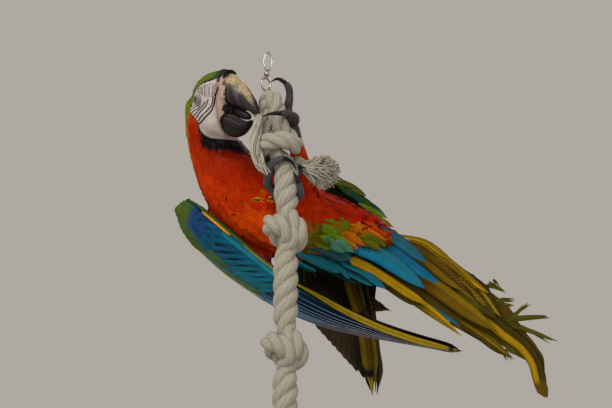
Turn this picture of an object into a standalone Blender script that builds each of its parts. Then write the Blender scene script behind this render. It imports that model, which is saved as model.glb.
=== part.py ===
"""Life-size display model of a hybrid macaw that climbs a knotted cotton rope.

The bird grips the rope with both feet and holds a loose strand in its bill. The rope stands
stiff in a socket on a rod and a round base. +Z is up, the bird's belly faces -Y, the tail
points to +X, and the origin is the middle of the base's underside, below the rope.
"""

import math

import bmesh
import bpy
from mathutils import Matrix, Vector

MM = 0.001
GAP = 0.35  # clearance between neighbouring solids, mm

# Driving sizes, all in millimetres.
ROPE_R = 15.5  # radius of the three-strand rope
ROPE_FOOT = 150.0  # height of the rope's cut lower end
ROPE_PITCH = 60.0  # height of one full turn of the strands
GRIP_Z = 483.0  # height of the lower foot on the rope
KNOTS = {"rope_knot_low": Vector((0, 0, 262)), "rope_knot_mid": Vector((0, 0, 415))}
KNOT_R = 12.0  # radius of the squeezed rope inside a knot

BASE_R = 165.0
BASE_H = 18.0
ROD_R = 8.0
SOCKET_H = 34.0

# The bird's axis from the head to the vent: centre, half width, depth to the back, depth to
# the belly, and the way that the belly faces.
TRUNK = [
    ((-102, 22, 596), 30, 40, 26, (0.80, -0.60, 0)),
    ((-102, 62, 557), 35, 39, 36, (0.70, -0.72, 0)),
    ((-74, 88, 505), 50, 47, 46, (0.35, -0.94, 0)),
    ((-28, 110, 470), 57, 51, 53, (0.10, -1, 0.05)),
    ((28, 117, 453), 55, 50, 51, (0, -1, 0)),
    ((92, 121, 432), 46, 42, 41, (0, -1, 0)),
    ((138, 126, 409), 36, 28, 26, (0, -1, 0)),
]
NECK_CUTS = (0.13, 0.36)  # shares of the axis where head, neck and trunk part

# The head: middle of the bill's base, and how far the head is turned, rolled and pitched.
HEAD_AT = Vector((-67.6, 2, 596.3))
HEAD_YAW, HEAD_ROLL, HEAD_PITCH = 34, 12, -6
SKULL = Vector((-31, 0, 3))
SKULL_R = Vector((40, 31, 38))
FOREHEAD = ((-16, 0, 25.5), (18, 16, 18))
JAW = [((-30, 13, -20), (23, 17, 27)), ((-18, 0, -32), (19, 17, 20))]
EYE = Vector((-43, 24.4, -0.5))
EYE_R = 7.5

# The bill, in the head's own frame: ridge point, cutting-edge point and half width.
BILL_UPPER = [
    ((-14, 35), (-14, -7), 17),
    ((-2, 33), (-4, -10), 17),
    ((8.5, 25.5), (6, -13), 15.5),
    ((18.5, 16), (15, -17), 13),
    ((27.5, 4), (24, -20), 10),
    ((34.5, -11), (30, -25), 7.5),
    ((38, -25), (34.5, -33), 4),
    ((36.5, -38), (35, -38.5), 1.4),
]
BILL_LOWER = [
    ((-18, -17), (-20, -38), 15),
    ((-9, -18.5), (-11, -49), 15.5),
    ((1, -23), (-1, -52), 14.5),
    ((11, -29.5), (9.5, -50), 12.5),
    ((19, -31.5), (17.5, -44), 9.5),
    ((26, -31), (24.5, -36), 5),
]
TONGUE = [
    ((-13, 0, -13), 3.2), ((0, 0, -16.5), 5), ((12, 0, -22.5), 6), ((21, 0, -26), 4.5), ((25, 0, -27), 2),
]

# Wings: leading edge and trailing edge from the wrist to the tip.
WING_RIGHT_LEAD = [
    (-140, 80, 478), (-112, 76, 457), (-64, 76, 416), (-19, 76, 382),
    (18, 74, 356), (71, 74, 326), (125, 76, 303), (178, 80, 285), (230, 85, 271),
]
WING_RIGHT_TRAIL = [
    (-152, 90, 468), (-139, 112, 435), (-113, 132, 411), (-81, 142, 385),
    (-32, 136, 351), (18, 117, 323), (72, 100, 302), (150, 94, 284), (229, 86, 268),
]
WING_LEFT_LEAD = [
    (52, 146, 535), (84, 157, 521), (116, 164, 494), (134, 169, 455),
    (130, 172, 410), (119, 169, 355), (122, 160, 300), (126, 154, 255), (119, 150, 221),
]
WING_LEFT_TRAIL = [
    (34, 152, 520), (12, 168, 490), (4, 178, 455), (2, 182, 412),
    (14, 180, 365), (30, 173, 325), (60, 166, 290), (92, 157, 255), (116, 150, 222),
]
FLIGHT_CUT = 0.5  # share of the wing where the covert part ends
WING_TIPS = 5  # stepped primary tips along the trailing edge

# Tail axis with half width and half thickness, from inside the rump to the hooked last feather.
TAIL = [
    ((112, 128, 424), 26, 13),
    ((150, 130, 403), 37, 10),
    ((212, 134, 366), 39, 6),
    ((281, 142, 317), 36, 4),
    ((318, 148, 289), 22, 2.6),
    ((344, 152, 264), 12, 2.0),
    ((353, 154, 240), 11.5, 1.8),
    ((359, 156, 218), 8, 1.4),
]
TAIL_STEPS = (0.34, 0.48, 0.60, 0.70)  # where shorter tail feathers end
FRAY_STEPS = (0.50, 0.57, 0.64, 0.71, 0.78)  # where frayed barbs stick out
COVERTS = [
    ((96, 96, 428), 30, 8),
    ((140, 108, 404), 31, 8),
    ((176, 117, 384), 24, 5),
    ((204, 123, 369), 8, 2),
]

# Thighs: start, end, start radius, end radius. Feet: the palm behind the rope.
THIGH_RIGHT = ((-30, 104, 448), (-14, 46, 474), 22, 10)
THIGH_LEFT = ((26, 104, 480), (13, 38, 546), 22, 9)
SHOULDERS = [
    [((-62, 106, 484), 38), ((-90, 108, 462), 25), ((-116, 104, 446), 13)],
    [((-52, 112, 468), 40), ((-54, 126, 430), 25), ((-36, 126, 394), 15), ((-14, 120, 370), 8)],
    [((-20, 122, 480), 40), ((34, 142, 484), 30), ((68, 150, 470), 21), ((86, 156, 440), 12)],
]
TOE_R = 5.8
PALM_RADII = {"right": (7.5, 6.5, 8.5, 6), "left": (7.5, 8.5, 11, 7)}
CLAW_R = 3.6
CLAW_TIP_R = 0.7

SIDES = 8  # corners of a feather fan's section
SKIN_VOXEL = 4.5
SKIN_TRIANGLES = 920
ROPE_CORNERS = 9  # corners of the rope's section, three to a strand
ROPE_STEP = 7.0  # height between the rope's sections

COLOURS = {
    "feather_red": ((0.60, 0.07, 0.01), 0.8, 0.0),
    "feather_green": ((0.12, 0.22, 0.03), 0.8, 0.0),
    "feather_blue": ((0.01, 0.20, 0.36), 0.7, 0.0),
    "feather_gold": ((0.36, 0.24, 0.01), 0.7, 0.0),
    "feather_dark": ((0.05, 0.05, 0.03), 0.7, 0.0),
    "horn": ((0.03, 0.025, 0.03), 0.35, 0.0),
    "eye": ((0.35, 0.33, 0.16), 0.1, 0.0),
    "foot_skin": ((0.07, 0.07, 0.08), 0.6, 0.0),
    "cotton": ((0.62, 0.59, 0.50), 0.95, 0.0),
    "steel": ((0.45, 0.43, 0.40), 0.3, 1.0),
    "wood": ((0.05, 0.035, 0.025), 0.45, 0.0),
}


def clear_scene():
    for obj in list(bpy.data.objects):
        bpy.data.objects.remove(obj)


def collection(name, hidden=False):
    made = bpy.data.collections.new(name)
    bpy.context.scene.collection.children.link(made)
    made.hide_render = hidden
    return made


def material(name):
    found = bpy.data.materials.get(name)
    if found:
        return found
    colour, roughness, metallic = COLOURS[name]
    made = bpy.data.materials.new(name)
    made.use_nodes = True
    shader = made.node_tree.nodes["Principled BSDF"]
    shader.inputs["Base Color"].default_value = (*colour, 1)
    shader.inputs["Roughness"].default_value = roughness
    shader.inputs["Metallic"].default_value = metallic
    return made


def smooth_step(low, high, value):
    share = min(1.0, max(0.0, (value - low) / (high - low)))
    return share * share * (3 - 2 * share)


def spline(values, share):
    """Catmull-Rom reading of a list of numbers or vectors, at a share from 0 to 1."""
    spans = len(values) - 1
    at = min(max(share, 0.0), 1.0) * spans
    i = min(int(at), spans - 1)
    u = at - i
    p1, p2 = values[i], values[i + 1]
    p0 = values[i - 1] if i > 0 else p1 + (p1 - p2)
    p3 = values[i + 2] if i + 2 <= spans else p2 + (p2 - p1)
    slope_1, slope_2 = (p2 - p0) * 0.5, (p3 - p1) * 0.5
    u2, u3 = u * u, u * u * u
    return (
        p1 * (2 * u3 - 3 * u2 + 1)
        + slope_1 * (u3 - 2 * u2 + u)
        + p2 * (3 * u2 - 2 * u3)
        + slope_2 * (u3 - u2)
    )


def line_of(points):
    vectors = [Vector(p) for p in points]
    return lambda share: spline(vectors, share)


def number_of(values):
    floats = [float(v) for v in values]
    return lambda share: spline(floats, share)


def shares(count, start=0.0, end=1.0):
    return [start + (end - start) * i / (count - 1) for i in range(count)]


def tangent(line, share, step=0.01):
    return (line(min(1, share + step)) - line(max(0, share - step))).normalized()


def add_object(name, bm, group, colour=None):
    """Turns a bmesh in millimetres into a smooth-shaded object in metres."""
    bmesh.ops.recalc_face_normals(bm, faces=bm.faces)
    bmesh.ops.triangulate(bm, faces=[f for f in bm.faces if len(f.verts) > 4])
    bmesh.ops.scale(bm, vec=(MM, MM, MM), verts=bm.verts)
    mesh = bpy.data.meshes.new(name)
    bm.to_mesh(mesh)
    bm.free()
    mesh.shade_smooth()
    mesh.set_sharp_from_angle(angle=math.radians(50))
    obj = bpy.data.objects.new(name, mesh)
    group.objects.link(obj)
    if colour:
        mesh.materials.append(material(colour))
    return obj


def loft(rings):
    """A closed bmesh through rings of equally many points, with flat ends."""
    bm = bmesh.new()
    rows = [[bm.verts.new(p) for p in ring] for ring in rings]
    for low, high in zip(rows, rows[1:]):
        for i in range(len(low)):
            j = (i + 1) % len(low)
            bm.faces.new((low[i], low[j], high[j], high[i]))
    bm.faces.new(rows[0][::-1])
    bm.faces.new(rows[-1])
    return bm


def oval(centre, side, front, width, back, ahead, corners=SIDES):
    """A ring: width to both sides, ahead along front and back against it."""
    ring = []
    for i in range(corners):
        angle = 2 * math.pi * i / corners
        reach = ahead if math.cos(angle) > 0 else back
        ring.append(centre + side * width * math.sin(angle) + front * reach * math.cos(angle))
    return ring


def tube(points, radii, count, start=0.0, end=1.0, corners=7):
    """A round bar along a smooth line, with a radius that follows the list."""
    line, radius = line_of(points), number_of(radii)
    side = None
    rings = []
    for share in shares(count, start, end):
        along = tangent(line, share)
        if side is None:
            side = along.orthogonal()
        side = (side - along * side.dot(along)).normalized()
        r = max(radius(share), CLAW_TIP_R)
        rings.append(oval(line(share), side, along.cross(side), r, r, r, corners))
    return loft(rings)


def ball(centre, radii, turn=None, rings=12):
    bm = bmesh.new()
    bmesh.ops.create_uvsphere(bm, u_segments=2 * rings, v_segments=rings, radius=1)
    place = Matrix.Translation(centre)
    if turn:
        place = place @ turn.to_4x4()
    bmesh.ops.transform(bm, matrix=place @ Matrix.Diagonal((*radii, 1)), verts=bm.verts)
    return bm


def merged(meshes):
    """Several bmeshes as one."""
    result = bmesh.new()
    for bm in meshes:
        mesh = bpy.data.meshes.new("merge")
        bm.to_mesh(mesh)
        bm.free()
        result.from_mesh(mesh)
        bpy.data.meshes.remove(mesh)
    return result


def cutter(obj, group):
    """A copy of obj with every vertex moved out by the gap, to cut its neighbours with."""
    bm = bmesh.new()
    bm.from_mesh(obj.data)
    bm.normal_update()
    for vert in bm.verts:
        vert.co += vert.normal * (1.5 * GAP * MM)
    mesh = bpy.data.meshes.new("cut_" + obj.name)
    bm.to_mesh(mesh)
    bm.free()
    made = bpy.data.objects.new("cut_" + obj.name, mesh)
    group.objects.link(made)
    return made


def evaluated(obj):
    """Applies an object's modifiers."""
    graph = bpy.context.evaluated_depsgraph_get()
    mesh = bpy.data.meshes.new_from_object(obj.evaluated_get(graph))
    obj.modifiers.clear()
    obj.data = mesh


def melt(obj, voxel, triangles, passes=4):
    """Runs overlapping shapes together into one soft skin of about that many triangles."""
    remesh = obj.modifiers.new("melt", "REMESH")
    remesh.mode = "VOXEL"
    remesh.voxel_size = voxel * MM
    soften = obj.modifiers.new("soften", "SMOOTH")
    soften.factor = 0.5
    soften.iterations = passes
    evaluated(obj)
    faces = 2 * len(obj.data.polygons)
    thin = obj.modifiers.new("thin", "DECIMATE")
    thin.ratio = min(1.0, triangles / faces)
    evaluated(obj)


def carve(obj, *cutters):
    """Takes the cutters out of obj."""
    for other in cutters:
        cut = obj.modifiers.new("carve", "BOOLEAN")
        cut.operation = "DIFFERENCE"
        cut.object = other
        cut.solver = "EXACT"
        cut.use_self = True
    evaluated(obj)
    keep_largest(obj)


def keep_largest(obj):
    """Drops crumbs that a cut left beside the main body."""
    bm = bmesh.new()
    bm.from_mesh(obj.data)
    bmesh.ops.remove_doubles(bm, verts=bm.verts, dist=0.01 * MM)
    todo, bodies = set(bm.verts), []
    while todo:
        stack, body = [todo.pop()], []
        while stack:
            vert = stack.pop()
            body.append(vert)
            near = {e.other_vert(vert) for e in vert.link_edges} & todo
            todo -= near
            stack.extend(near)
        bodies.append(body)
    bodies.sort(key=len)
    bmesh.ops.delete(bm, geom=[v for body in bodies[:-1] for v in body], context="VERTS")
    bm.to_mesh(obj.data)
    bm.free()


def sliced(obj, name, point, normal, group, colour):
    """The part of obj on the normal's side of a plane, closed there, set back by half the gap."""
    bm = bmesh.new()
    bm.from_mesh(obj.data)
    cut = bmesh.ops.bisect_plane(
        bm,
        geom=[*bm.verts, *bm.edges, *bm.faces],
        plane_co=(point + normal * GAP / 2) * MM,
        plane_no=normal,
        clear_inner=True,
    )
    rim = [g for g in cut["geom_cut"] if isinstance(g, bmesh.types.BMEdge)]
    bmesh.ops.holes_fill(bm, edges=rim, sides=0)
    bmesh.ops.triangulate(bm, faces=[f for f in bm.faces if len(f.verts) > 4])
    bmesh.ops.scale(bm, vec=(1 / MM,) * 3, verts=bm.verts)
    return add_object(name, bm, group, colour)


def head_turn():
    """The head's own frame: +X to the bill, +Y to the bird's right, +Z to the crown."""
    level = Matrix(((1, 0, 0), (0, -1, 0), (0, 0, 1)))
    roll = Matrix.Rotation(math.radians(HEAD_ROLL), 3, "X")
    pitch = Matrix.Rotation(math.radians(-HEAD_PITCH), 3, "Y")
    yaw = Matrix.Rotation(math.radians(-HEAD_YAW), 3, "Z")
    return yaw @ pitch @ roll @ level


def in_head(point):
    return HEAD_AT + head_turn() @ Vector(point)


def bill(stations, turn_over=1):
    """A loft of upright sections, round at the ridge and flat along the cutting edge."""
    turn = head_turn()
    side = turn @ Vector((0, 1, 0))
    ridge = line_of([(*top, 0) for top, _, _ in stations])
    edge = line_of([(*low, 0) for _, low, _ in stations])
    width = number_of([w for _, _, w in stations])
    rings = []
    for share in shares(round(1.6 * len(stations))):
        top, low = ridge(share), edge(share)
        top, low = in_head((top.x, 0, top.y)), in_head((low.x, 0, low.y))
        if turn_over < 0:
            top, low = low, top
        up = (top - low).normalized()
        high = (top - low).length
        centre = low + up * high * 0.3
        ring = []
        for i in range(12):
            angle = 2 * math.pi * (i + 0.5) / 12
            rise = math.cos(angle) * high * (0.7 if math.cos(angle) > 0 else 0.3)
            ring.append(centre + side * width(share) * math.sin(angle) * 1.04 + up * rise * 1.035)
        rings.append(ring)
    return loft(rings)


def trunk_skin():
    """Trunk, neck, skull, thigh roots and shoulders, overlapping, before they are melted."""
    centre = line_of([s[0] for s in TRUNK])
    width = number_of([s[1] for s in TRUNK])
    back = number_of([s[2] for s in TRUNK])
    belly = number_of([s[3] for s in TRUNK])
    facing = line_of([s[4] for s in TRUNK])
    rings = []
    for share in shares(26):
        along = tangent(centre, share)
        front = facing(share)
        front = (front - along * front.dot(along)).normalized()
        side = along.cross(front)
        rings.append(
            oval(centre(share), side, front, width(share), back(share), belly(share), 20)
        )
    shapes = [loft(rings), ball(in_head(SKULL), SKULL_R, head_turn())]
    for at, radii in (FOREHEAD, *JAW):
        for sign in (1, -1) if at[1] else (1,):
            shapes.append(ball(in_head((at[0], sign * at[1], at[2])), radii, head_turn()))
    for shoulder in SHOULDERS:
        shapes.append(tube([p for p, _ in shoulder], [r for _, r in shoulder], 9, corners=14))
    return merged(shapes)


def thigh(sizes):
    start, end, wide, narrow = sizes
    middle = (Vector(start) + Vector(end)) / 2
    return tube([start, middle, end], [wide, (wide + narrow) / 2 + 2, narrow], 6, corners=10)


def stepped(share, tips, first, last, taper):
    """Relative width of a fan whose feathers end one after another, each with a round tip."""
    best = 0.0
    for k in range(tips + 1):
        end = first + (last - first) * k / tips
        width = 1 - (1 - taper) * k / tips
        round_part = 0.09
        if share < end - round_part:
            best = max(best, width)
        elif share < end:
            along = (share - end + round_part) / round_part
            best = max(best, width * math.sqrt(1 - along * along))
    return best


def wing(lead, trail, outward, start, end, count):
    """A cambered shell between two edges. The outer face bulges towards outward."""
    front, rear = line_of(lead), line_of(trail)
    thickness = number_of((15, 18, 16, 12, 7, 4, 3, 2, 1.4))
    camber = number_of((5, 9, 12, 11, 8, 6, 4, 2, 0.5))
    across = (0.0, 0.08, 0.36, 0.72, 1.0)
    rings = []
    for share in shares(count, start, end):
        near, far = front(share), rear(share)
        along = tangent(front, share)
        out = along.cross(far - near).normalized()
        out = out if out.dot(Vector(outward)) > 0 else -out
        if share > FLIGHT_CUT:
            far = near + (far - near) * max(0.25, stepped(share, WING_TIPS, 0.66, 1.12, 0.45))
        top, under = [], []
        for s in across:
            middle = near.lerp(far, s) + out * camber(share) * 4 * s * (1 - s)
            half = max(0.6, thickness(share) / 2 * min(1, s * 9 + 0.15) * (1.08 - s))
            top.append(middle + out * half)
            under.append(middle - out * half)
        rings.append(top + under[::-1])
    return loft(rings)


def fan(stations, facing, steps=(), frays=(), count=30):
    """A flat tapering fan of feathers: the tail or the long coverts under it."""
    centre = line_of([s[0] for s in stations])
    width = number_of([s[1] for s in stations])
    thick = number_of([s[2] for s in stations])
    rings = []
    for share in shares(count):
        along = tangent(centre, share)
        front = Vector(facing)
        front = (front - along * front.dot(along)).normalized()
        side = along.cross(front)
        half, deep = width(share), thick(share)
        below = half - sum(3 * (0 < share - step < 0.04) for step in steps)
        above = half + sum(6 * smooth_step(step - 0.05, step, share) * (share < step) for step in frays)
        ring = []
        for i in range(SIDES):
            angle = 2 * math.pi * i / SIDES
            reach = above if math.sin(angle) < 0 else below
            ring.append(
                centre(share) + side * reach * math.sin(angle) + front * deep * math.cos(angle)
            )
        rings.append(ring)
    return loft(rings)


def around_rope(steps, radius=ROPE_R + GAP + TOE_R):
    """Points round the rope at the lower grip: angle from the front in degrees, and rise."""
    points = []
    for angle, rise in steps:
        turn = math.radians(angle)
        points.append((radius * math.sin(turn) - 3, -radius * math.cos(turn), GRIP_Z + rise))
    return points


def toe_lines():
    """Each toe's line from the palm to the claw's tip, and the share where the claw starts."""
    grip = {
        "right_1": ([(172, -12), (130, -18), (95, -20), (68, -10), (52, -2), (34, 6)], 0.66),
        "right_2": ([(-172, -6), (-130, -8), (-92, 0), (-52, 15), (-8, 22), (28, 19), (50, 8)], 0.70),
        "right_3": ([(-176, 11), (-140, 17), (-112, 24), (-88, 29), (-66, 30)], 0.66),
        "right_4": ([(176, 11), (138, 12), (104, 14), (80, 16), (60, 17)], 0.68),
    }
    lines = {name: (around_rope(steps), claw) for name, (steps, claw) in grip.items()}
    lines["left_1"] = ([(0, 24, 558), (-13, 29, 555), (-27, 26, 556), (-36, 16, 557)], 0.66)
    lines["left_2"] = (
        [
            (3, 16, 572), (2, 11, 586), (4, 6, 599), (3, 1, 611),
            (-4, -2, 619), (-13, -4, 622), (-21, -5, 617),
        ], 0.6,
    )
    lines["left_3"] = (
        [(9, 10, 563), (12, -6, 566), (3, -20, 567), (-9, -25, 566), (-20, -26, 565), (-31, -23, 562)], 0.56,
    )
    lines["left_4"] = ([(-1, 24, 571), (-13, 27, 580), (-26, 23, 587), (-34, 13, 590)], 0.68)
    return lines


def make_feet(parts, cutters):
    """Palms, toes and claws. Returns the cutters that clear the rope of them."""
    palms = {
        "right": [(-18, 44, 474), (-10, 36, 477), (-3, 29, 482), (-3, 27.5, 492)],
        "left": [(13, 34, 549), (11, 24, 556), (5, 15, 562), (3, 13, 572)],
    }
    clear = []
    for side, points in palms.items():
        foot = add_object(f"foot_{side}", tube(points, PALM_RADII[side], 8), parts, "foot_skin")
        clear.append(cutter(foot, cutters))
        for name, (line, claw) in toe_lines().items():
            if not name.startswith(side):
                continue
            toe_radii = (TOE_R, TOE_R * 1.05, TOE_R * 0.92, TOE_R * 0.85, TOE_R * 0.72)
            claw_radii = (CLAW_R, CLAW_R * 0.8, CLAW_R * 0.5, CLAW_TIP_R)
            bend = line_of(line)
            toe_line = [bend(s) for s in shares(7, 0, claw)]
            claw_line = [bend(s) for s in shares(6, claw, 1)]
            toe = add_object(f"toe_{name}", tube(toe_line, toe_radii, 7, corners=6), parts, "foot_skin")
            carve(toe, *clear)
            clear.append(cutter(toe, cutters))
            nail = add_object(f"claw_{name}", tube(claw_line, claw_radii, 5, corners=5), parts, "horn")
            carve(nail, *clear)
            clear.append(cutter(nail, cutters))
    return clear


def rope_length(low, high):
    """A straight length of three-strand rope."""
    rings = []
    for height in shares(max(3, round((high - low) / ROPE_STEP)), low, high):
        ring = []
        for i in range(ROPE_CORNERS):
            angle = 2 * math.pi * i / ROPE_CORNERS
            lobes = 1 + 0.05 * math.cos(3 * (angle - 2 * math.pi * height / ROPE_PITCH))
            ring.append(
                Vector((math.cos(angle), math.sin(angle), 0)) * ROPE_R * lobes + Vector((0, 0, height))
            )
        rings.append(ring)
    return loft(rings)


def knot_line(centre):
    """An overhand knot: a loop round the rope, with the end passed through it."""
    turns = [
        (0, 0, 34), (2, -1, 20), (12, -10, 6), (17, -4, -10), (6, 13, -16), (-13, 13, -2),
        (-19, -3, 8), (-8, -15, 4), (6, -11, -10), (2, -1, -22), (0, 0, -34),
    ]
    return [centre + Vector(turn) for turn in turns]


# The rope's upper end: from the frayed tail through the knot, up over the ring and down again.
BIGHT = [
    (23, 6, 503), (8, 14, 508), (-12, 17, 512), (-30, 7, 521), (-25, -13, 530), (-2, -20, 531),
    (12, -8, 527), (4, 3, 541), (-11, -1, 562), (-13, -2, 583), (-21, 3, 599), (-28, 8, 586),
    (-29, 9, 566), (-26, 7, 544), (-14, 2, 522), (-2, 0, 505),
]
BITTEN = [(-35, -12, 567), (-39, -14, 545), (-40, -16, 521), (-34, -17, 500), (-24, -14, 486)]
BITTEN_R = (5, 8, 8.5, 8, 6)
TASSEL = [
    ((26, 7, 502), 11), ((33, 8, 500), 17), ((43, 9, 497), 23), ((53, 10, 494), 21), ((58, 10, 493), 15),
]


def make_rope(parts, cutters, clear, bill_cutters):
    low_knot, mid_knot = KNOTS.values()
    reach = 31
    spans = {
        "rope_end": (ROPE_FOOT, low_knot.z - reach),
        "rope_lower": (low_knot.z + reach, mid_knot.z - reach),
        "rope_upper": (mid_knot.z + reach, GRIP_Z + 20),
    }
    for name, (low, high) in spans.items():
        rope = add_object(name, rope_length(low + GAP, high - GAP), parts, "cotton")
        if name == "rope_upper":
            carve(rope, *clear)
            clear = [*clear, cutter(rope, cutters)]
    for name, centre in KNOTS.items():
        line = knot_line(centre)
        knot = add_object(name, tube(line, [KNOT_R + 2.5, KNOT_R, KNOT_R, KNOT_R + 2.5], 40), parts, "cotton")
        melt(knot, 3.5, 225, 2)
        trim(knot, centre.z - reach, centre.z + reach)
    head = add_object("rope_knot_top", tube(BIGHT, (11, 11, 11.5, 11.5, 12.5), 60), parts, "cotton")
    melt(head, 3.5, 330, 2)
    carve(head, *clear)
    clear.append(cutter(head, cutters))
    ends = {
        "rope_tassel": ([p for p, _ in TASSEL], [r for _, r in TASSEL], 7),
        "rope_strand": (BITTEN, BITTEN_R, 7),
    }
    for name, (line, radii, count) in ends.items():
        piece = add_object(name, tube(line, radii, count, corners=10), parts, "cotton")
        carve(piece, *clear, *bill_cutters)
    return head


def trim(obj, low, high):
    """Cuts an object flat between two heights, leaving the gap to what it meets there."""
    for point, normal in ((low, 1), (high, -1)):
        bm = bmesh.new()
        bm.from_mesh(obj.data)
        cut = bmesh.ops.bisect_plane(
            bm,
            geom=[*bm.verts, *bm.edges, *bm.faces],
            plane_co=(0, 0, point * MM),
            plane_no=(0, 0, normal),
            clear_inner=True,
        )
        rim = [g for g in cut["geom_cut"] if isinstance(g, bmesh.types.BMEdge)]
        bmesh.ops.holes_fill(bm, edges=rim, sides=0)
        bmesh.ops.triangulate(bm, faces=[f for f in bm.faces if len(f.verts) > 4])
        bm.to_mesh(obj.data)
        bm.free()
    keep_largest(obj)


def make_hook(parts, cutters):
    """The steel ring through the rope's bight, a swivel and the link above it."""
    wires = {
        "hook_ring": (Vector((-27, 0, 616)), 7, 9, 1.9, 35),
        "hook_link": (Vector((-25, 0, 648.5)), 5.5, 12.5, 1.6, 10),
    }
    made = []
    for name, (centre, wide, high, wire, turn) in wires.items():
        about = Matrix.Rotation(math.radians(turn), 3, "Z")
        line = []
        for i in range(14):
            angle = 2 * math.pi * i / 14
            line.append(centre + about @ Vector((wide * math.cos(angle), 0, high * math.sin(angle))))
        made.append(add_object(name, closed_wire(line, wire), parts, "steel"))
    swivel = [(0, 633.5), (3, 633), (4.2, 631.5), (4.2, 629), (3, 627.6), (0, 627.3)]
    barrel = turned("hook_swivel", swivel, parts, "steel", 12)
    shift = Matrix.Translation(Vector((-26, 0, 0)) * MM)
    barrel.data.transform(shift)
    return [cutter(obj, cutters) for obj in made]


def closed_wire(line, radius, corners=5):
    """A round wire bent into a closed loop."""
    bm = bmesh.new()
    count = len(line)
    rows = []
    middle = sum(line, Vector()) / count
    for i, point in enumerate(line):
        along = (line[(i + 1) % count] - line[i - 1]).normalized()
        out = point - middle
        out = (out - along * out.dot(along)).normalized()
        ring = oval(point, out, along.cross(out), radius, radius, radius, corners)
        rows.append([bm.verts.new(p) for p in ring])
    for i, row in enumerate(rows):
        after = rows[(i + 1) % count]
        for j in range(corners):
            k = (j + 1) % corners
            bm.faces.new((row[j], row[k], after[k], after[j]))
    return bm


def turned(name, profile, parts, colour, steps=32):
    """A turned piece from its profile of radius and height, listed from the top down."""
    bm = bmesh.new()
    verts = [bm.verts.new((r, 0, z)) for r, z in profile]
    for a, b in zip(verts, verts[1:]):
        bm.edges.new((a, b))
    bmesh.ops.spin(
        bm, geom=[*bm.verts, *bm.edges], cent=(0, 0, 0), axis=(0, 0, 1), angle=2 * math.pi, steps=steps
    )
    bmesh.ops.remove_doubles(bm, verts=bm.verts, dist=0.01)
    return add_object(name, bm, parts, colour)


def make_stand(parts):
    edge = 2.5
    turned(
        "stand_base",
        [
            (0, BASE_H), (BASE_R - edge, BASE_H), (BASE_R, BASE_H - edge),
            (BASE_R, edge), (BASE_R - edge, 0), (0, 0),
        ],
        parts,
        "wood",
    )
    cup = ROPE_FOOT - 10
    rod_profile = [(0, cup - GAP), (ROD_R, cup - GAP), (ROD_R, BASE_H + GAP), (0, BASE_H + GAP)]
    turned("stand_rod", rod_profile, parts, "steel", 12)
    inner, outer = ROPE_R * 1.05 + GAP, ROPE_R + 4.5
    turned(
        "stand_socket",
        [
            (0, ROPE_FOOT - GAP), (inner, ROPE_FOOT - GAP), (inner, cup + SOCKET_H),
            (outer, cup + SOCKET_H), (outer, cup + 4), (outer - 4, cup), (0, cup),
        ],
        parts,
        "steel",
        20,
    )


def make_face(parts, cutters):
    """Bill, tongue and eyes. Returns their cutters by name."""
    upper = add_object("bill_upper", bill(BILL_UPPER), parts, "horn")
    cut = {"upper": cutter(upper, cutters)}
    lower = add_object("bill_lower", bill(BILL_LOWER, -1), parts, "horn")
    carve(lower, cut["upper"])
    cut["lower"] = cutter(lower, cutters)
    line = [in_head(p) for p, _ in TONGUE]
    tongue = add_object("tongue", tube(line, [r for _, r in TONGUE], 6), parts, "horn")
    carve(tongue, cut["upper"], cut["lower"])
    cut["tongue"] = cutter(tongue, cutters)
    for side, sign in (("right", 1), ("left", -1)):
        at = in_head((EYE.x, sign * EYE.y, EYE.z))
        eye = add_object(f"eye_{side}", ball(at, (EYE_R,) * 3, head_turn(), 5), parts, "eye")
        cut[f"eye_{side}"] = cutter(eye, cutters)
    return cut


def make_feathers(parts, cutters):
    """Wings, tail and the long coverts under it. Returns their cutters by name."""
    wings = {
        "right": (WING_RIGHT_LEAD, WING_RIGHT_TRAIL, (-0.4, -0.7, -0.6), "feather_blue"),
        "left": (WING_LEFT_LEAD, WING_LEFT_TRAIL, (0.2, 1, 0), "feather_dark"),
    }
    cut = {}
    for side, (lead, trail, outward, colour) in wings.items():
        near = wing(lead, trail, outward, 0, FLIGHT_CUT, 12)
        far = wing(lead, trail, outward, FLIGHT_CUT + 0.002, 1, 16)
        for name, shape in (("coverts", near), ("flight", far)):
            made = add_object(f"wing_{side}_{name}", shape, parts, colour)
            cut[f"{side}_{name}"] = cutter(made, cutters)
    facing = (0.05, -1, 0.1)
    tail = add_object("tail", fan(TAIL, facing, TAIL_STEPS, FRAY_STEPS, 32), parts, "feather_gold")
    cut["tail"] = cutter(tail, cutters)
    under = add_object("tail_coverts", fan(COVERTS, facing, count=10), parts, "feather_blue")
    carve(under, cut["tail"])
    cut["under"] = cutter(under, cutters)
    return cut


def make_bird(parts, cutters, clear, face):
    """Flesh, legs, wings and tail, each clear of the others by the gap."""
    feathers = make_feathers(parts, cutters)
    legs = []
    for side, sizes in (("right", THIGH_RIGHT), ("left", THIGH_LEFT)):
        leg = add_object(f"thigh_{side}", thigh(sizes), parts, "feather_red")
        carve(leg, *clear)
        legs.append(cutter(leg, cutters))
    whole = add_object("cut_whole", trunk_skin(), cutters)
    melt(whole, SKIN_VOXEL, SKIN_TRIANGLES)
    axis = line_of([s[0] for s in TRUNK])
    upper, lower = NECK_CUTS
    head = sliced(whole, "head", axis(upper), -tangent(axis, upper), parts, "feather_green")
    rest = sliced(whole, "cut_rest", axis(upper), tangent(axis, upper), cutters, None)
    neck = sliced(rest, "neck", axis(lower), -tangent(axis, lower), parts, "feather_red")
    trunk = sliced(rest, "trunk", axis(lower), tangent(axis, lower), parts, "feather_red")
    carve(head, *face.values())
    carve(neck, feathers["right_coverts"], face["upper"], face["lower"])
    carve(trunk, *feathers.values(), *legs)


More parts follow.
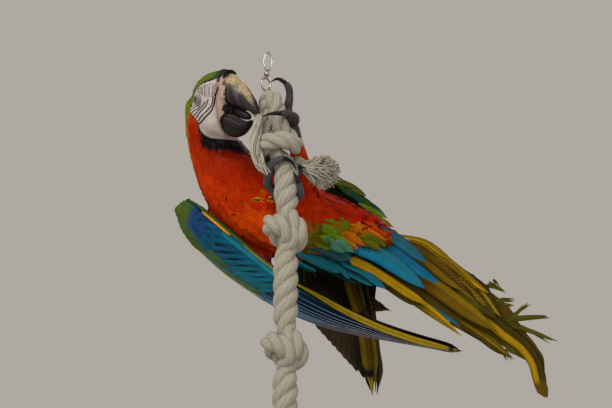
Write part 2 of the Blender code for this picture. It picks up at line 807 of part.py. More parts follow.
def main():
    clear_scene()
    parts = collection("macaw_on_rope")
    cutters = collection("cutters", hidden=True)
    make_stand(parts)
    clear = make_feet(parts, cutters)
    face = make_face(parts, cutters)
    make_bird(parts, cutters, clear, face)
    head = make_rope(parts, cutters, clear, (face["upper"], face["lower"]))
    carve(head, *make_hook(parts, cutters))
    for obj in cutters.objects:
        obj.hide_render = True
        obj.display_type = "WIRE"


main()
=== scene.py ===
"""Looks of a life-size hybrid macaw that climbs a knotted cotton rope: skin, feathers, bill, eyes,
feet, rope, steel hook and display stand, built round the part's CAD. Shapes are worked out in
millimetres."""

import math

import bmesh
import bpy
import numpy as np
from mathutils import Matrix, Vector
from mathutils.bvhtree import BVHTree
from mathutils.kdtree import KDTree


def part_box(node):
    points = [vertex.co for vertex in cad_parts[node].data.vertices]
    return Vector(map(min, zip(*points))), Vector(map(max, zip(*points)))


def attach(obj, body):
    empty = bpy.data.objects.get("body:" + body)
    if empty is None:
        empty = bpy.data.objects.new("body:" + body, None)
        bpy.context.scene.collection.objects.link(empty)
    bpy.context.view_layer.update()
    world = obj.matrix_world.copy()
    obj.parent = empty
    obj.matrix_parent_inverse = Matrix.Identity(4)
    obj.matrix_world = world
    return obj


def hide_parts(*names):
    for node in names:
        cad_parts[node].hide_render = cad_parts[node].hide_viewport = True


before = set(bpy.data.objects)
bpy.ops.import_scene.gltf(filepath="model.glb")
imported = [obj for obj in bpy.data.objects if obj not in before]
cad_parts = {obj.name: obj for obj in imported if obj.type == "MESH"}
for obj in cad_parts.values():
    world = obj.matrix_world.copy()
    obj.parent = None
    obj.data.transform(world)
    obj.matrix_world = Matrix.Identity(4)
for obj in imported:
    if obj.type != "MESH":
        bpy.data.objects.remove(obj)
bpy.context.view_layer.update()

MM = 0.001
rng = np.random.default_rng(11)

# ---------------------------------------------------------------- sizes shared with the CAD, in millimetres
HEAD_AT = np.array((-67.6, 2, 596.3))
HEAD_YAW, HEAD_ROLL, HEAD_PITCH = 34, 12, -6
TRUNK = np.array([
    (-102, 22, 596), (-102, 62, 557), (-74, 88, 505), (-28, 110, 470), (28, 117, 453), (92, 121, 432),
    (138, 126, 409),
], float)
BELLY_FACING = np.array([
    (.8, -.6, 0), (.7, -.72, 0), (.35, -.94, 0), (.1, -1, .05), (0, -1, 0), (0, -1, 0), (0, -1, 0),
], float)
EYE = (-43, 24.4, -0.5)
EYE_R = 7.5
BILL_UPPER = [
    ((-14, 35), (-14, -7), 17), ((-2, 33), (-4, -10), 17), ((8.5, 25.5), (6, -13), 15.5),
    ((18.5, 16), (15, -17), 13), ((27.5, 4), (24, -20), 10), ((34.5, -11), (30, -25), 7.5),
    ((38, -25), (34.5, -33), 4), ((36.5, -38), (35, -38.5), 1.4),
]
BILL_LOWER = [
    ((-18, -17), (-20, -38), 15), ((-9, -18.5), (-11, -49), 15.5), ((1, -23), (-1, -52), 14.5),
    ((11, -29.5), (9.5, -50), 12.5), ((19, -31.5), (17.5, -44), 9.5), ((26, -31), (24.5, -36), 5),
]
TONGUE = [
    ((-13, 0, -13), 3.2), ((0, 0, -16.5), 5), ((12, 0, -22.5), 6), ((21, 0, -26), 4.5), ((25, 0, -27), 2),
]
WING_RIGHT_LEAD = np.array([
    (-140, 80, 478), (-112, 76, 457), (-64, 76, 416), (-19, 76, 382),
    (18, 74, 356), (71, 74, 326), (125, 76, 303), (178, 80, 285), (230, 85, 271),
], float)
WING_RIGHT_TRAIL = np.array([
    (-152, 90, 468), (-139, 112, 435), (-113, 132, 411), (-81, 142, 385),
    (-32, 136, 351), (18, 117, 323), (72, 100, 302), (150, 94, 284), (229, 86, 268),
], float)
WING_LEFT_LEAD = np.array([
    (52, 146, 535), (84, 157, 521), (116, 164, 494), (134, 169, 455),
    (130, 172, 410), (119, 169, 355), (122, 160, 300), (126, 154, 255), (119, 150, 221),
], float)
WING_LEFT_TRAIL = np.array([
    (34, 152, 520), (12, 168, 490), (4, 178, 455), (2, 182, 412),
    (14, 180, 365), (30, 173, 325), (60, 166, 290), (92, 157, 255), (116, 150, 222),
], float)
WING_CAMBER = (5, 9, 12, 11, 8, 6, 4, 2, 0.5)
WING_THICKNESS = (5, 6, 5, 4, 3, 2.5, 2, 1.5, 1)
TAIL = [
    ((112, 128, 424), 26), ((150, 130, 403), 37), ((212, 134, 366), 39), ((281, 142, 317), 36),
    ((318, 148, 289), 22), ((344, 152, 264), 12), ((353, 154, 240), 11.5), ((359, 156, 218), 8),
]
TAIL_FACING = np.array((0.05, -1, 0.1))
THIGHS = {"right": ((-30, 104, 448), (-14, 46, 474), 22, 10), "left": ((26, 104, 480), (13, 38, 546), 22, 9)}
ROPE_R, ROPE_PITCH, ROPE_FOOT, GRIP_Z = 15.5, 60.0, 150.0, 483.0
BIGHT_R, KNOT_R, KNOT_HALF = 11.4, 12.4, 36
KNOTS = {"low": 262.0, "mid": 415.0}
TOE_R, CLAW_R = 5.8, 3.6

# ---------------------------------------------------------------- colours, linear
RED = (0.40, 0.010, 0.0004)
DEEP_RED = (0.24, 0.006, 0.0005)
ORANGE = (0.58, 0.052, 0.001)
AMBER = (0.66, 0.26, 0.010)
GREEN = (0.095, 0.19, 0.006)
DARK_GREEN = (0.018, 0.060, 0.014)
OLIVE = (0.15, 0.12, 0.006)
TEAL = (0.008, 0.135, 0.185)
BLUE = (0.006, 0.145, 0.31)
DEEP_BLUE = (0.008, 0.040, 0.20)
SOOT = (0.006, 0.005, 0.006)
BROWN = (0.045, 0.026, 0.012)
GOLD = (0.30, 0.185, 0.004)
FACE = (0.51, 0.455, 0.435)
PINK = (0.40, 0.27, 0.20)
HORN = (0.012, 0.009, 0.011)


# ---------------------------------------------------------------- small maths
def unit(v):
    v = np.asarray(v, float)
    return v / np.maximum(np.linalg.norm(v, axis=-1, keepdims=True), 1e-9)


def norm(v):
    return np.linalg.norm(v, axis=-1)


def square_to(along, v):
    """The unit direction nearest to v that is square to along."""
    return unit(v - along * (v * along).sum(-1, keepdims=True))


def length_of(line):
    return norm(np.diff(np.asarray(line, float), axis=0)).sum()


def round_angles(sides):
    return 2 * math.pi * np.arange(sides) / sides


def ramp(low, high, value):
    """A smooth step from 0 at low to 1 at high, which may be the smaller of the two."""
    share = np.clip((np.asarray(value, float) - low) / (high - low), 0, 1)
    return share * share * (3 - 2 * share)


def mix(a, b, share):
    """Between a and b, for one share or an array of them."""
    share = np.asarray(share, float)[..., None]
    return np.asarray(a) * (1 - share) + np.asarray(b) * share


def spline(values, share):
    """Catmull-Rom reading of a list of numbers or points at shares from 0 to 1."""
    values = np.asarray(values, float)
    at = np.clip(np.asarray(share, float), 0, 1) * (len(values) - 1)
    i = np.minimum(at.astype(int), len(values) - 2)
    u = at - i
    ends = np.concatenate([[2 * values[0] - values[1]], values, [2 * values[-1] - values[-2]]])
    p0, p1, p2, p3 = ends[i], ends[i + 1], ends[i + 2], ends[i + 3]
    if values.ndim > 1:
        u = u[..., None]
    slope_1, slope_2 = (p2 - p0) * 0.5, (p3 - p1) * 0.5
    return (
        p1 * (2 * u**3 - 3 * u**2 + 1) + slope_1 * (u**3 - 2 * u**2 + u)
        + p2 * (3 * u**2 - 2 * u**3) + slope_2 * (u**3 - u**2)
    )


def turn_about(axis, degrees):
    c, s = math.cos(math.radians(degrees)), math.sin(math.radians(degrees))
    i, j = {"X": (1, 2), "Y": (2, 0), "Z": (0, 1)}[axis]
    matrix = np.eye(3)
    matrix[i, i] = matrix[j, j] = c
    matrix[i, j], matrix[j, i] = -s, s
    return matrix


# The head's own frame: +X to the bill, +Y to the bird's right, +Z to the crown.
HEAD_TURN = (
    turn_about("Z", -HEAD_YAW) @ turn_about("Y", -HEAD_PITCH) @ turn_about("X", HEAD_ROLL)
    @ np.diag((1.0, -1.0, 1.0))
)


def in_head(points):
    """From the head's frame to the model's."""
    return HEAD_AT + np.asarray(points, float) @ HEAD_TURN.T


def to_head(points):
    """From the model's frame to the head's."""
    return (np.asarray(points, float) - HEAD_AT) @ HEAD_TURN


def wobble(points, size, seed=0):
    """Smooth pseudo-random numbers from -1 to 1 that change over about size millimetres."""
    points = np.asarray(points, float) / size
    total = np.zeros(points.shape[:-1])
    local = np.random.default_rng(seed)
    for _ in range(5):
        total += np.sin(points @ local.normal(0, 1.4, 3) + local.uniform(0, 6.3))
    return total / 3.2


def carried_frames(path, first=(0.2, 1.0, 0.1)):
    """Side and front directions carried along a path without turning round it."""
    along = unit(np.gradient(path, axis=0))
    side = np.cross(along[0], first)
    sides = []
    for a in along:
        side = unit(side - a * (side @ a))
        sides.append(side)
    sides = np.array(sides)
    return along, sides, np.cross(along, sides)


def circle(side, front, angle, flat=1.0):
    """Unit rings, one for each pair of directions."""
    return side[:, None] * np.cos(angle)[:, None] + front[:, None] * np.sin(angle)[:, None] * flat


# ---------------------------------------------------------------- meshes
def grid_faces(rows, cols, wrap=False):
    """Four-cornered faces of a grid of points, whose columns may close to a ring."""
    i = np.arange(rows - 1)[:, None]
    j = np.arange(cols if wrap else cols - 1)[None]
    a, b = i * cols + j, i * cols + (j + 1) % cols
    return np.stack([a, b, b + cols, a + cols], -1).reshape(-1, 4)


def close_ends(rows, sides):
    """Faces of a loft with a middle point at each end, numbered after its rings."""
    quads = grid_faces(rows, sides, wrap=True)
    k = np.arange(sides)
    first = np.stack([np.full(sides, rows * sides), (k + 1) % sides, k], -1)
    last = np.stack(
        [np.full(sides, rows * sides + 1), k + (rows - 1) * sides, (k + 1) % sides + (rows - 1) * sides], -1
    )
    return quads, np.concatenate([first, last])


class Shape:
    """Points and faces gathered for one piece, with each point's colour, local place and bake spot."""

    def __init__(self):
        self.parts = []
        self.count = 0
        self.quads, self.tris = [], []

    def add(self, points, quads=(), tris=(), tint=(1, 1, 1), vane=(0, 0, 0), barb=0.0, spot=(0, 0)):
        points = np.asarray(points, float).reshape(-1, 3)
        n = len(points)
        full = lambda value, width: np.broadcast_to(np.asarray(value, float), (n, width))
        barb = np.broadcast_to(np.asarray(barb, float), (n,))[:, None]
        self.parts.append(np.concatenate([points, full(tint, 3), full(vane, 3), barb, full(spot, 2)], axis=1))
        if len(quads):
            self.quads.append(np.asarray(quads).reshape(-1, 4) + self.count)
        if len(tris):
            self.tris.append(np.asarray(tris).reshape(-1, 3) + self.count)
        self.count += n

    def tube(self, path, radii, sides=10, flat=1.0, **extra):
        """A round bar along points, closed at both ends. flat squeezes its section."""
        path = np.asarray(path, float)
        radii = np.broadcast_to(np.asarray(radii, float), (len(path),))
        _, side, front = carried_frames(path, (0.3, 0.2, 1.0))
        ring = circle(side, front, round_angles(sides), flat)
        points = path[:, None] + ring * radii[:, None, None]
        quads, tris = close_ends(len(path), sides)
        self.add(np.concatenate([points.reshape(-1, 3), path[[0, -1]]]), quads, tris, **extra)

    def build(self, name, material, nodes=(), bake=False, sharp=70):
        data = np.concatenate(self.parts)
        quads = np.concatenate(self.quads) if self.quads else np.zeros((0, 4), int)
        tris = np.concatenate(self.tris) if self.tris else np.zeros((0, 3), int)
        mesh = bpy.data.meshes.new(name)
        mesh.vertices.add(len(data))
        mesh.vertices.foreach_set("co", (data[:, :3] * MM).astype(np.float32).ravel())
        corners = np.concatenate([quads.ravel(), tris.ravel()]).astype(np.int32)
        mesh.loops.add(len(corners))
        mesh.loops.foreach_set("vertex_index", corners)
        mesh.polygons.add(len(quads) + len(tris))
        starts = np.concatenate([np.arange(len(quads)) * 4, len(quads) * 4 + np.arange(len(tris)) * 3])
        mesh.polygons.foreach_set("loop_start", starts.astype(np.int32))
        mesh.update(calc_edges=True)
        mesh.shade_smooth()
        mesh.set_sharp_from_angle(angle=math.radians(sharp))
        tint = mesh.attributes.new("tint", "FLOAT_COLOR", "POINT")
        tint.data.foreach_set("color", np.c_[data[:, 3:6], np.ones(len(data))].astype(np.float32).ravel())
        vane = mesh.attributes.new("vane", "FLOAT_VECTOR", "POINT")
        vane.data.foreach_set("vector", data[:, 6:9].astype(np.float32).ravel())
        barb = mesh.attributes.new("barb", "FLOAT", "POINT")
        barb.data.foreach_set("value", data[:, 9].astype(np.float32))
        if bake:
            layer = mesh.uv_layers.new(name="OFBake")
            layer.data.foreach_set("uv", data[corners, 10:12].astype(np.float32).ravel())
        return place(name, mesh, material, nodes)


def place(name, mesh, material, nodes=()):
    """Makes a mesh a piece of the object, which stands for the named CAD nodes."""
    obj = bpy.data.objects.new(name, mesh)
    bpy.context.scene.collection.objects.link(obj)
    mesh.materials.clear()
    mesh.materials.append(material)
    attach(obj, "root")
    if nodes:
        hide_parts(*nodes)
    return obj


# ---------------------------------------------------------------- materials
def node(tree, kind, inputs=None, **settings):
    made = tree.nodes.new(kind)
    for key, value in settings.items():
        setattr(made, key, value)
    for key, value in (inputs or {}).items():
        if isinstance(value, bpy.types.NodeSocket):
            tree.links.new(value, made.inputs[key])
        else:
            made.inputs[key].default_value = value
    return made


def new_material(name, **values):
    made = bpy.data.materials.new(name)
    made.use_nodes = True
    shader = made.node_tree.nodes["Principled BSDF"]
    for key, value in values.items():
        shader.inputs[key.replace("_", " ")].default_value = value
    return made, made.node_tree, shader


def sums(tree, operation, a, b):
    """One math node."""
    return node(tree, "ShaderNodeMath", {0: a, 1: b}, operation=operation).outputs[0]


def times(tree, a, b):
    return sums(tree, "MULTIPLY", a, b)


def blend(tree, factor, a, b):
    made = node(tree, "ShaderNodeMix", {"Factor": factor}, data_type="RGBA")
    for socket, value in ((made.inputs[6], a), (made.inputs[7], b)):
        if isinstance(value, bpy.types.NodeSocket):
            tree.links.new(value, socket)
        else:
            socket.default_value = (*value, 1)
    return made.outputs[2]


def attribute(tree, name, output="Color"):
    """What the mesh carries at each point: its tint, its place on the vane, or the way along its barbs."""
    return node(tree, "ShaderNodeAttribute", attribute_name=name).outputs[output]


def object_place(tree):
    return node(tree, "ShaderNodeTexCoord").outputs["Object"]


def stretched(tree, vector, factors):
    return node(tree, "ShaderNodeVectorMath", {0: vector, 1: factors}, operation="MULTIPLY").outputs[0]


def noise(tree, scale, detail=3, rough=0.6, vector=None):
    inputs = {"Vector": vector or object_place(tree), "Scale": scale, "Detail": detail, "Roughness": rough}
    return node(tree, "ShaderNodeTexNoise", inputs).outputs["Fac"]


def curve(tree, value, low, high, to_low, to_high):
    made = node(tree, "ShaderNodeMapRange", {"Value": value, 1: low, 2: high, 3: to_low, 4: to_high})
    return made.outputs[0]


def spread(tree, value, to_low, to_high):
    """The middle of a noise, which is where most of it lies, spread over a range."""
    return curve(tree, value, 0.3, 0.7, to_low, to_high)


def dyed(tree, value):
    """The mesh's own tint, made lighter and darker by a value."""
    return node(
        tree, "ShaderNodeVectorMath", {0: attribute(tree, "tint"), "Scale": value}, operation="SCALE"
    ).outputs[0]


def finish(tree, shader, colour, roughness):
    tree.links.new(colour, shader.inputs["Base Color"])
    tree.links.new(roughness, shader.inputs["Roughness"])


def bump(tree, shader, height, strength, distance, below=None):
    inputs = {"Height": height, "Strength": strength, "Distance": distance}
    if below:
        inputs["Normal"] = below
    made = node(tree, "ShaderNodeBump", inputs)
    tree.links.new(made.outputs[0], shader.inputs["Normal"])
    return made.outputs[0]


def feather_material(name, barb_step=1.1, streak=0.14, gloss=0.62):
    """Barbs along each vane, painted shade at the root and a hue that shifts a little from feather to
    feather.
    """
    made, tree, shader = new_material(name, Specular_IOR_Level=0.04)
    parts = node(tree, "ShaderNodeSeparateXYZ", {0: attribute(tree, "vane", "Vector")}).outputs
    fine = noise(tree, 900, 2)
    phase = times(tree, attribute(tree, "barb", "Fac"), 2 * math.pi / barb_step)
    wave = sums(tree, "SINE", sums(tree, "ADD", phase, times(tree, fine, 5.0)), 0.0)
    lines = curve(tree, wave, -1, 1, 1 - streak, 1 + streak * 0.35)
    broad = spread(tree, noise(tree, 55, 2), 0.88, 1.10)
    own = curve(tree, parts[2], 0, 1, 0.92, 1.08)
    # painted shade: each vane darkens towards its root, where the feathers overlap
    root = curve(tree, parts[0], 0.0, 0.5, 0.94, 1.0)
    value = times(tree, times(tree, lines, broad), times(tree, own, root))
    finish(tree, shader, dyed(tree, value), spread(tree, fine, gloss - 0.08, gloss + 0.12))
    bump(tree, shader, sums(tree, "ADD", wave, fine), 0.2, 0.00012)
    return made


def skin_material():
    """Bare skin and the down between the feathers, in the same markings as the coat."""
    made, tree, shader = new_material("bird_skin", Roughness=0.62, Specular_IOR_Level=0.3)
    fine = noise(tree, 700, 4, 0.65)
    value = times(
        tree, curve(tree, fine, 0.25, 0.75, 0.84, 1.08), spread(tree, noise(tree, 90, 2), 0.92, 1.06)
    )
    tree.links.new(dyed(tree, value), shader.inputs["Base Color"])
    pores = bump(tree, shader, noise(tree, 1500, 2), 0.3, 0.00015)
    bump(tree, shader, fine, 0.35, 0.0004, pores)
    return made


def horn_material():
    """Dark horn, with streaks that run from its root to its tip."""
    made, tree, shader = new_material(
        "bill_horn", Specular_IOR_Level=0.14, Coat_Weight=0.02, Coat_Roughness=0.3
    )
    grain = noise(tree, 1.6, 4, 0.7, stretched(tree, attribute(tree, "vane", "Vector"), (1.6, 14.0, 1.0)))
    spots = noise(tree, 260, 3, 0.7)
    value = times(tree, spread(tree, grain, 0.5, 1.5), spread(tree, spots, 0.8, 1.2))
    finish(tree, shader, dyed(tree, value), spread(tree, grain, 0.28, 0.54))
    bump(tree, shader, grain, 0.3, 0.0004, bump(tree, shader, spots, 0.25, 0.0003))
    return made


def cotton_material():
    """Soiled white cotton: yarn lines, painted shade in the grooves, come from the mesh; fibres from here."""
    made, tree, shader = new_material(
        "cotton_yarn", Sheen_Weight=0.12, Sheen_Roughness=0.6, Specular_IOR_Level=0.10
    )
    fibre = noise(tree, 1.0, 3, 0.6, stretched(tree, attribute(tree, "vane", "Vector"), (0.25, 26.0, 26.0)))
    soil = curve(tree, noise(tree, 42, 4, 0.65), 0.52, 0.75, 0.0, 0.55)
    speck = noise(tree, 420, 2)
    value = times(tree, spread(tree, fibre, 0.86, 1.08), spread(tree, speck, 0.93, 1.05))
    finish(
        tree, shader, blend(tree, soil, dyed(tree, value), (0.38, 0.33, 0.20)),
        spread(tree, speck, 0.85, 0.97)
    )
    bump(tree, shader, fibre, 0.6, 0.0005, bump(tree, shader, speck, 0.4, 0.0003))
    return made


def foot_material():
    """Dark grey hide with small scales."""
    made, tree, shader = new_material("foot_hide", Specular_IOR_Level=0.22)
    scales = {"Vector": object_place(tree), "Scale": 520.0}
    cells = node(tree, "ShaderNodeTexVoronoi", scales, feature="DISTANCE_TO_EDGE").outputs["Distance"]
    tone = node(tree, "ShaderNodeTexVoronoi", scales).outputs["Color"]
    one = node(tree, "ShaderNodeSeparateXYZ", {0: tone}).outputs[0]
    plate = curve(tree, cells, 0.0, 0.16, 0.0, 1.0)
    value = times(tree, curve(tree, plate, 0, 1, 0.45, 1.15), curve(tree, one, 0, 1, 0.75, 1.3))
    finish(tree, shader, dyed(tree, value), spread(tree, noise(tree, 300), 0.45, 0.7))
    bump(tree, shader, plate, 0.6, 0.0006)
    return made


def eye_material():
    """Iris, pupil and a wet surface. vane holds the distance from the eye's axis."""
    made, tree, shader = new_material("eye_wet", Roughness=0.06, Coat_Weight=1.0, Coat_Roughness=0.02)
    vane = attribute(tree, "vane", "Vector")
    reach = node(tree, "ShaderNodeSeparateXYZ", {0: vane}).outputs[0]
    rays = noise(tree, 1.0, 3, 0.6, stretched(tree, vane, (1.0, 9.0, 1.0)))
    iris = blend(tree, spread(tree, rays, 0, 1), (0.16, 0.13, 0.06), (0.36, 0.31, 0.17))
    ringed = blend(tree, curve(tree, reach, 3.7, 4.4, 0, 1), iris, (0.05, 0.04, 0.03))
    whole = blend(tree, curve(tree, reach, 2.1, 2.4, 1, 0), ringed, (0.002, 0.002, 0.002))
    tree.links.new(whole, shader.inputs["Base Color"])
    return made


def steel_material():
    """The worn zinc of the ring, swivel and link."""
    made, tree, shader = new_material("zinc_steel", Metallic=1.0)
    worn = noise(tree, 160, 5, 0.7)
    tone = blend(tree, curve(tree, worn, 0.35, 0.7, 0, 1), (0.50, 0.47, 0.42), (0.24, 0.21, 0.17))
    finish(tree, shader, tone, spread(tree, worn, 0.2, 0.45))
    bump(tree, shader, noise(tree, 900, 2), 0.15, 0.0002)
    return made


def brushed_material():
    """The stand's rod and socket, brushed round the axis."""
    made, tree, shader = new_material("stand_steel", Metallic=1.0)
    lines = noise(tree, 1.0, 3, 0.6, stretched(tree, object_place(tree), (60.0, 60.0, 3200.0)))
    tone = blend(tree, spread(tree, lines, 0, 1), (0.36, 0.35, 0.34), (0.52, 0.51, 0.49))
    finish(tree, shader, tone, spread(tree, lines, 0.28, 0.42))
    bump(tree, shader, lines, 0.15, 0.0002)
    return made


def wood_material():
    """Dark stained hardwood with long grain and open pores."""
    made, tree, shader = new_material("stained_wood", Coat_Weight=0.25, Coat_Roughness=0.25)
    grain = noise(tree, 1.0, 6, 0.62, stretched(tree, object_place(tree), (3.0, 46.0, 46.0)))
    pores = noise(tree, 1.0, 2, 0.5, stretched(tree, object_place(tree), (60.0, 1500.0, 1500.0)))
    base = blend(tree, spread(tree, grain, 0, 1), (0.020, 0.012, 0.008), (0.095, 0.055, 0.030))
    tone = blend(tree, curve(tree, pores, 0.6, 0.72, 0, 0.7), base, (0.010, 0.006, 0.004))
    finish(tree, shader, tone, spread(tree, grain, 0.32, 0.46))
    bump(tree, shader, pores, 0.2, 0.0002)
    return made


FEATHER = feather_material("contour_feather")
QUILLED = feather_material("flight_feather", barb_step=2.0, streak=0.32, gloss=0.5)
SKIN = skin_material()
HORNY = horn_material()
COTTON = cotton_material()
HIDE = foot_material()
WET = eye_material()
ZINC = steel_material()
BRUSHED = brushed_material()
WOOD = wood_material()

# ---------------------------------------------------------------- where a point is on the bird
BODY_STEPS = np.linspace(0, 1, 150)
BODY_LINE = spline(TRUNK, BODY_STEPS)
BODY_ALONG = unit(np.gradient(BODY_LINE, axis=0))
BODY_FRONT = spline(BELLY_FACING, BODY_STEPS)
BODY_FRONT = square_to(BODY_ALONG, BODY_FRONT)
BODY_SIDE = np.cross(BODY_ALONG, BODY_FRONT)
BILL_ROOT = np.array((4.0, 0.0, -6.0))
SKULL_MIDDLE, FACE_MIDDLE, FACE_REACH = (-36, 0, 0), (-34, 0, -10), 64
FACE_EDGE = np.array([
    (-8, 31), (-13, 28.5), (-21.5, 24), (-31, 22.5), (-39.5, 19.5), (-46.5, 13.5), (-52, 7), (-54.5, -1.5),
    (-56.5, -9.5), (-57, -14), (-54.5, -18), (-50, -23.5), (-45.5, -29), (-45.5, -33), (-46.5, -40),
    (-42.5, -46.5), (-37, -50.5), (-21, -53), (-1.5, -54.5), (8, -53), (16, -50), (20, -45), (6, -20),
    (2, 20),
], float)


def on_body(points):
    """Share along the body's axis, and the angle from the belly in degrees, positive on the bird's right."""
    points = np.asarray(points, float).reshape(-1, 3)
    near = np.concatenate([
        ((chunk[:, None] - BODY_LINE[None]) ** 2).sum(-1).argmin(1)
        for chunk in np.array_split(points, 1 + len(points) // 4000)
    ])
    out = points - BODY_LINE[near]
    angle = np.degrees(np.arctan2((out * BODY_SIDE[near]).sum(1), (out * BODY_FRONT[near]).sum(1)))
    return BODY_STEPS[near], angle, near


def on_thigh(points):
    """Nearness to a thigh from 0 to 1, the share along it, and its direction."""
    points = np.asarray(points, float).reshape(-1, 3)
    best, share_best = np.zeros(len(points)), np.zeros(len(points))
    way = np.zeros_like(points)
    for start, end, wide, narrow in THIGHS.values():
        start, along = np.array(start, float), np.array(end, float) - np.array(start, float)
        length = norm(along)
        share = np.clip((points - start) @ along / length**2, 0, 1.15)
        gap = norm(points - start - share[:, None] * along) - (wide + (narrow - wide) * share)
        close = ramp(9, 2, gap) * ramp(0.28, 0.5, share)
        better = close > best
        best, share_best = np.where(better, close, best), np.where(better, share, share_best)
        way[better] = along / length
    return best, share_best, way


def face_depth(head_points):
    """How far inside the bare face a point is, in millimetres, seen from the side of the head."""
    p = np.asarray(head_points, float)[:, [0, 2]]
    a, b = FACE_EDGE, np.roll(FACE_EDGE, -1, axis=0)
    edge = b - a
    rel = p[:, None] - a[None]
    along = np.clip((rel * edge).sum(-1) / (edge**2).sum(-1), 0, 1)
    gap = norm(rel - along[..., None] * edge).min(1)
    crosses = (a[None, :, 1] > p[:, None, 1]) != (b[None, :, 1] > p[:, None, 1])
    at = a[:, 0] + (p[:, 1, None] - a[:, 1]) / np.where(edge[:, 1] == 0, 1e-9, edge[:, 1]) * edge[:, 0]
    inside = (crosses & (p[:, 0, None] < at)).sum(1) % 2 == 1
    return np.where(inside, gap, -gap)


def near_face(head, reach=FACE_REACH):
    return norm(head - FACE_MIDDLE) < reach


def on_bare_face(head):
    return (face_depth(head) > -0.2) & near_face(head)


def feather_length(points):
    """Short round the face, longest on the trunk, short again down the thighs."""
    head = to_head(points)
    from_bill = norm(head - BILL_ROOT)
    share, angle, _ = on_body(points)
    on_head = 3.4 + 0.135 * np.maximum(from_bill - 26, 0)
    on_trunk = spline((12, 15, 20, 23, 24, 20, 9), share) * (1 + 0.15 * ramp(110, 140, np.abs(angle)))
    length = np.minimum(on_head, on_trunk)
    near, along, _ = on_thigh(points)
    return length * (1 - near) + near * (15 - 8 * np.clip(along, 0, 1))


def coat_depth(points):
    """How far the skin lies under the flesh's surface, to leave room for the coat."""
    head = to_head(points)
    bare = ramp(-3, 1, face_depth(head)) * near_face(head)
    return 0.16 * feather_length(points) * (1 - bare) + 0.55 * bare


# ---------------------------------------------------------------- markings, the same for skin and coat
PATCHES = [  # centre, reach in x, y and z, colour
    ((-20, 70, 438), (60, 60, 18), ORANGE), ((-64, 60, 442), (40, 60, 22), ORANGE),
    ((-31, 64, 478), (18, 40, 5), (0.60, 0.10, 0.002)),
    ((54, 66, 427), (30, 70, 18), (0.115, 0.190, 0.004)), ((26, 66, 424), (12, 70, 22), OLIVE),
    ((90, 72, 421), (15, 60, 11), (0.50, 0.130, 0.002)), ((70, 72, 412), (10, 60, 7), (0.085, 0.170, 0.006)),
    ((66, 76, 400), (52, 60, 15), (0.010, 0.090, 0.110)),
    ((106, 92, 390), (46, 50, 18), (0.008, 0.060, 0.080)),
    ((108, 80, 434), (26, 60, 5), (0.52, 0.20, 0.003)), ((124, 90, 420), (16, 60, 9), (0.130, 0.115, 0.003)),
]


def body_colours(points, soft, streak):
    """Orange-red below with the flank's patches, and green to blue over the back."""
    share, angle, _ = on_body(points)
    side = np.abs(angle)
    colour = mix(RED, ORANGE, np.clip(0.36 + 0.38 * soft + 0.22 * streak, 0, 1))
    colour = mix(colour, DEEP_RED, ramp(0.25, 0.85, wobble(points, 48, 3)) * 0.6)
    for centre, reach, tone in PATCHES:
        gap = np.sqrt((((points - centre) / reach) ** 2).sum(1)) + 0.16 * streak
        colour = mix(colour, tone, ramp(1.15, 0.75, gap))
    back = np.where(share < 0.35, ramp(134, 146, side + 4 * streak), ramp(104, 122, side + 7 * streak))
    edge = ramp(120, 136, side + 5 * streak) * (share < 0.4)
    colour = mix(colour, AMBER, edge * 0.75)
    top = mix(GREEN, TEAL, ramp(0.22, 0.5, share + 0.05 * soft))
    top = mix(top, BLUE, ramp(0.6, 0.85, share + 0.05 * streak))
    colour = mix(colour, top, back)
    near, _, _ = on_thigh(points)
    return mix(colour, mix(ORANGE, RED, ramp(-0.5, 0.5, streak)), near * (points[:, 2] > 470))


def head_feather_colours(colour, head, face, soft, streak):
    """The green cap and nape, sooty forehead and chin, and dark red painted shade under the chin over the
    body's colours.
    """
    x, z = head[:, 0], head[:, 2]
    from_head = norm(head - SKULL_MIDDLE)
    on_head = ramp(62, 54, from_head)
    cap = ramp(-4, 6, z + 0.42 * (x + 52) + 2.5 * streak) * on_head
    nape = ramp(-53, -58, x) * ramp(-3, 3, z + 14 - 1.2 * (x + 61) + 2 * streak) * ramp(88, 78, from_head)
    green = mix(mix(GREEN, OLIVE, 0.25 + 0.25 * soft), DARK_GREEN, ramp(-34, -14, x) * 0.9)
    colour = mix(colour, green, np.maximum(cap, nape))
    brow = ramp(-24, -12, x + 2 * streak) * ramp(18, 24, z)
    brow = np.maximum(brow, ramp(-5.5, -1.5, face) * ramp(-44, -36, x) * 0.8)
    colour = mix(colour, np.array(SOOT) * 1.4, cap * brow)
    rim = ramp(-2.6, -1.2, face) * on_head * 0.75
    chin = ramp(-17, -12, face + 2.5 * streak) * ramp(-30, -38, z) * ramp(-53, -47, x)
    # painted shade: the red darkens under the chin
    under_chin_shade = ramp(-30, -14, face + 3 * streak) * ramp(-34, -44, z) * ramp(-56, -46, x)
    colour = mix(colour, np.array(DEEP_RED) * 0.5, under_chin_shade * 0.8)
    return mix(colour, SOOT, np.maximum(rim, chin))


def bare_skin_colours(head, soft):
    """The pale face, pinker by the bill and darker round the eye, with nostril and mouth corner painted dark
    as shade.
    """
    x, z = head[:, 0], head[:, 2]
    skin = mix(FACE, PINK, np.clip(0.06 + 0.10 * soft + ramp(-18.5, -14.5, x) * 0.75, 0, 1))
    around_eye = norm((head - EYE)[:, [0, 2]])
    skin = mix(skin, (0.36, 0.29, 0.25), ramp(11, 6.5, around_eye) * 0.6)
    # painted shade: the nostril's opening is dark
    nostril = norm((head - (-14.6, 0, 25))[:, [0, 2]] * (1, 0.42))
    skin = mix(skin, (0.10, 0.018, 0.010), ramp(2.0, 1.0, nostril))
    # painted shade: the corner of the mouth between the bill halves is black
    mouth = ramp(1.0, -1.0, np.abs(z + 15) - 7.0 * ramp(-12, -7, x)) * ramp(-12, -10.5, x)
    return mix(skin, SOOT, mouth)


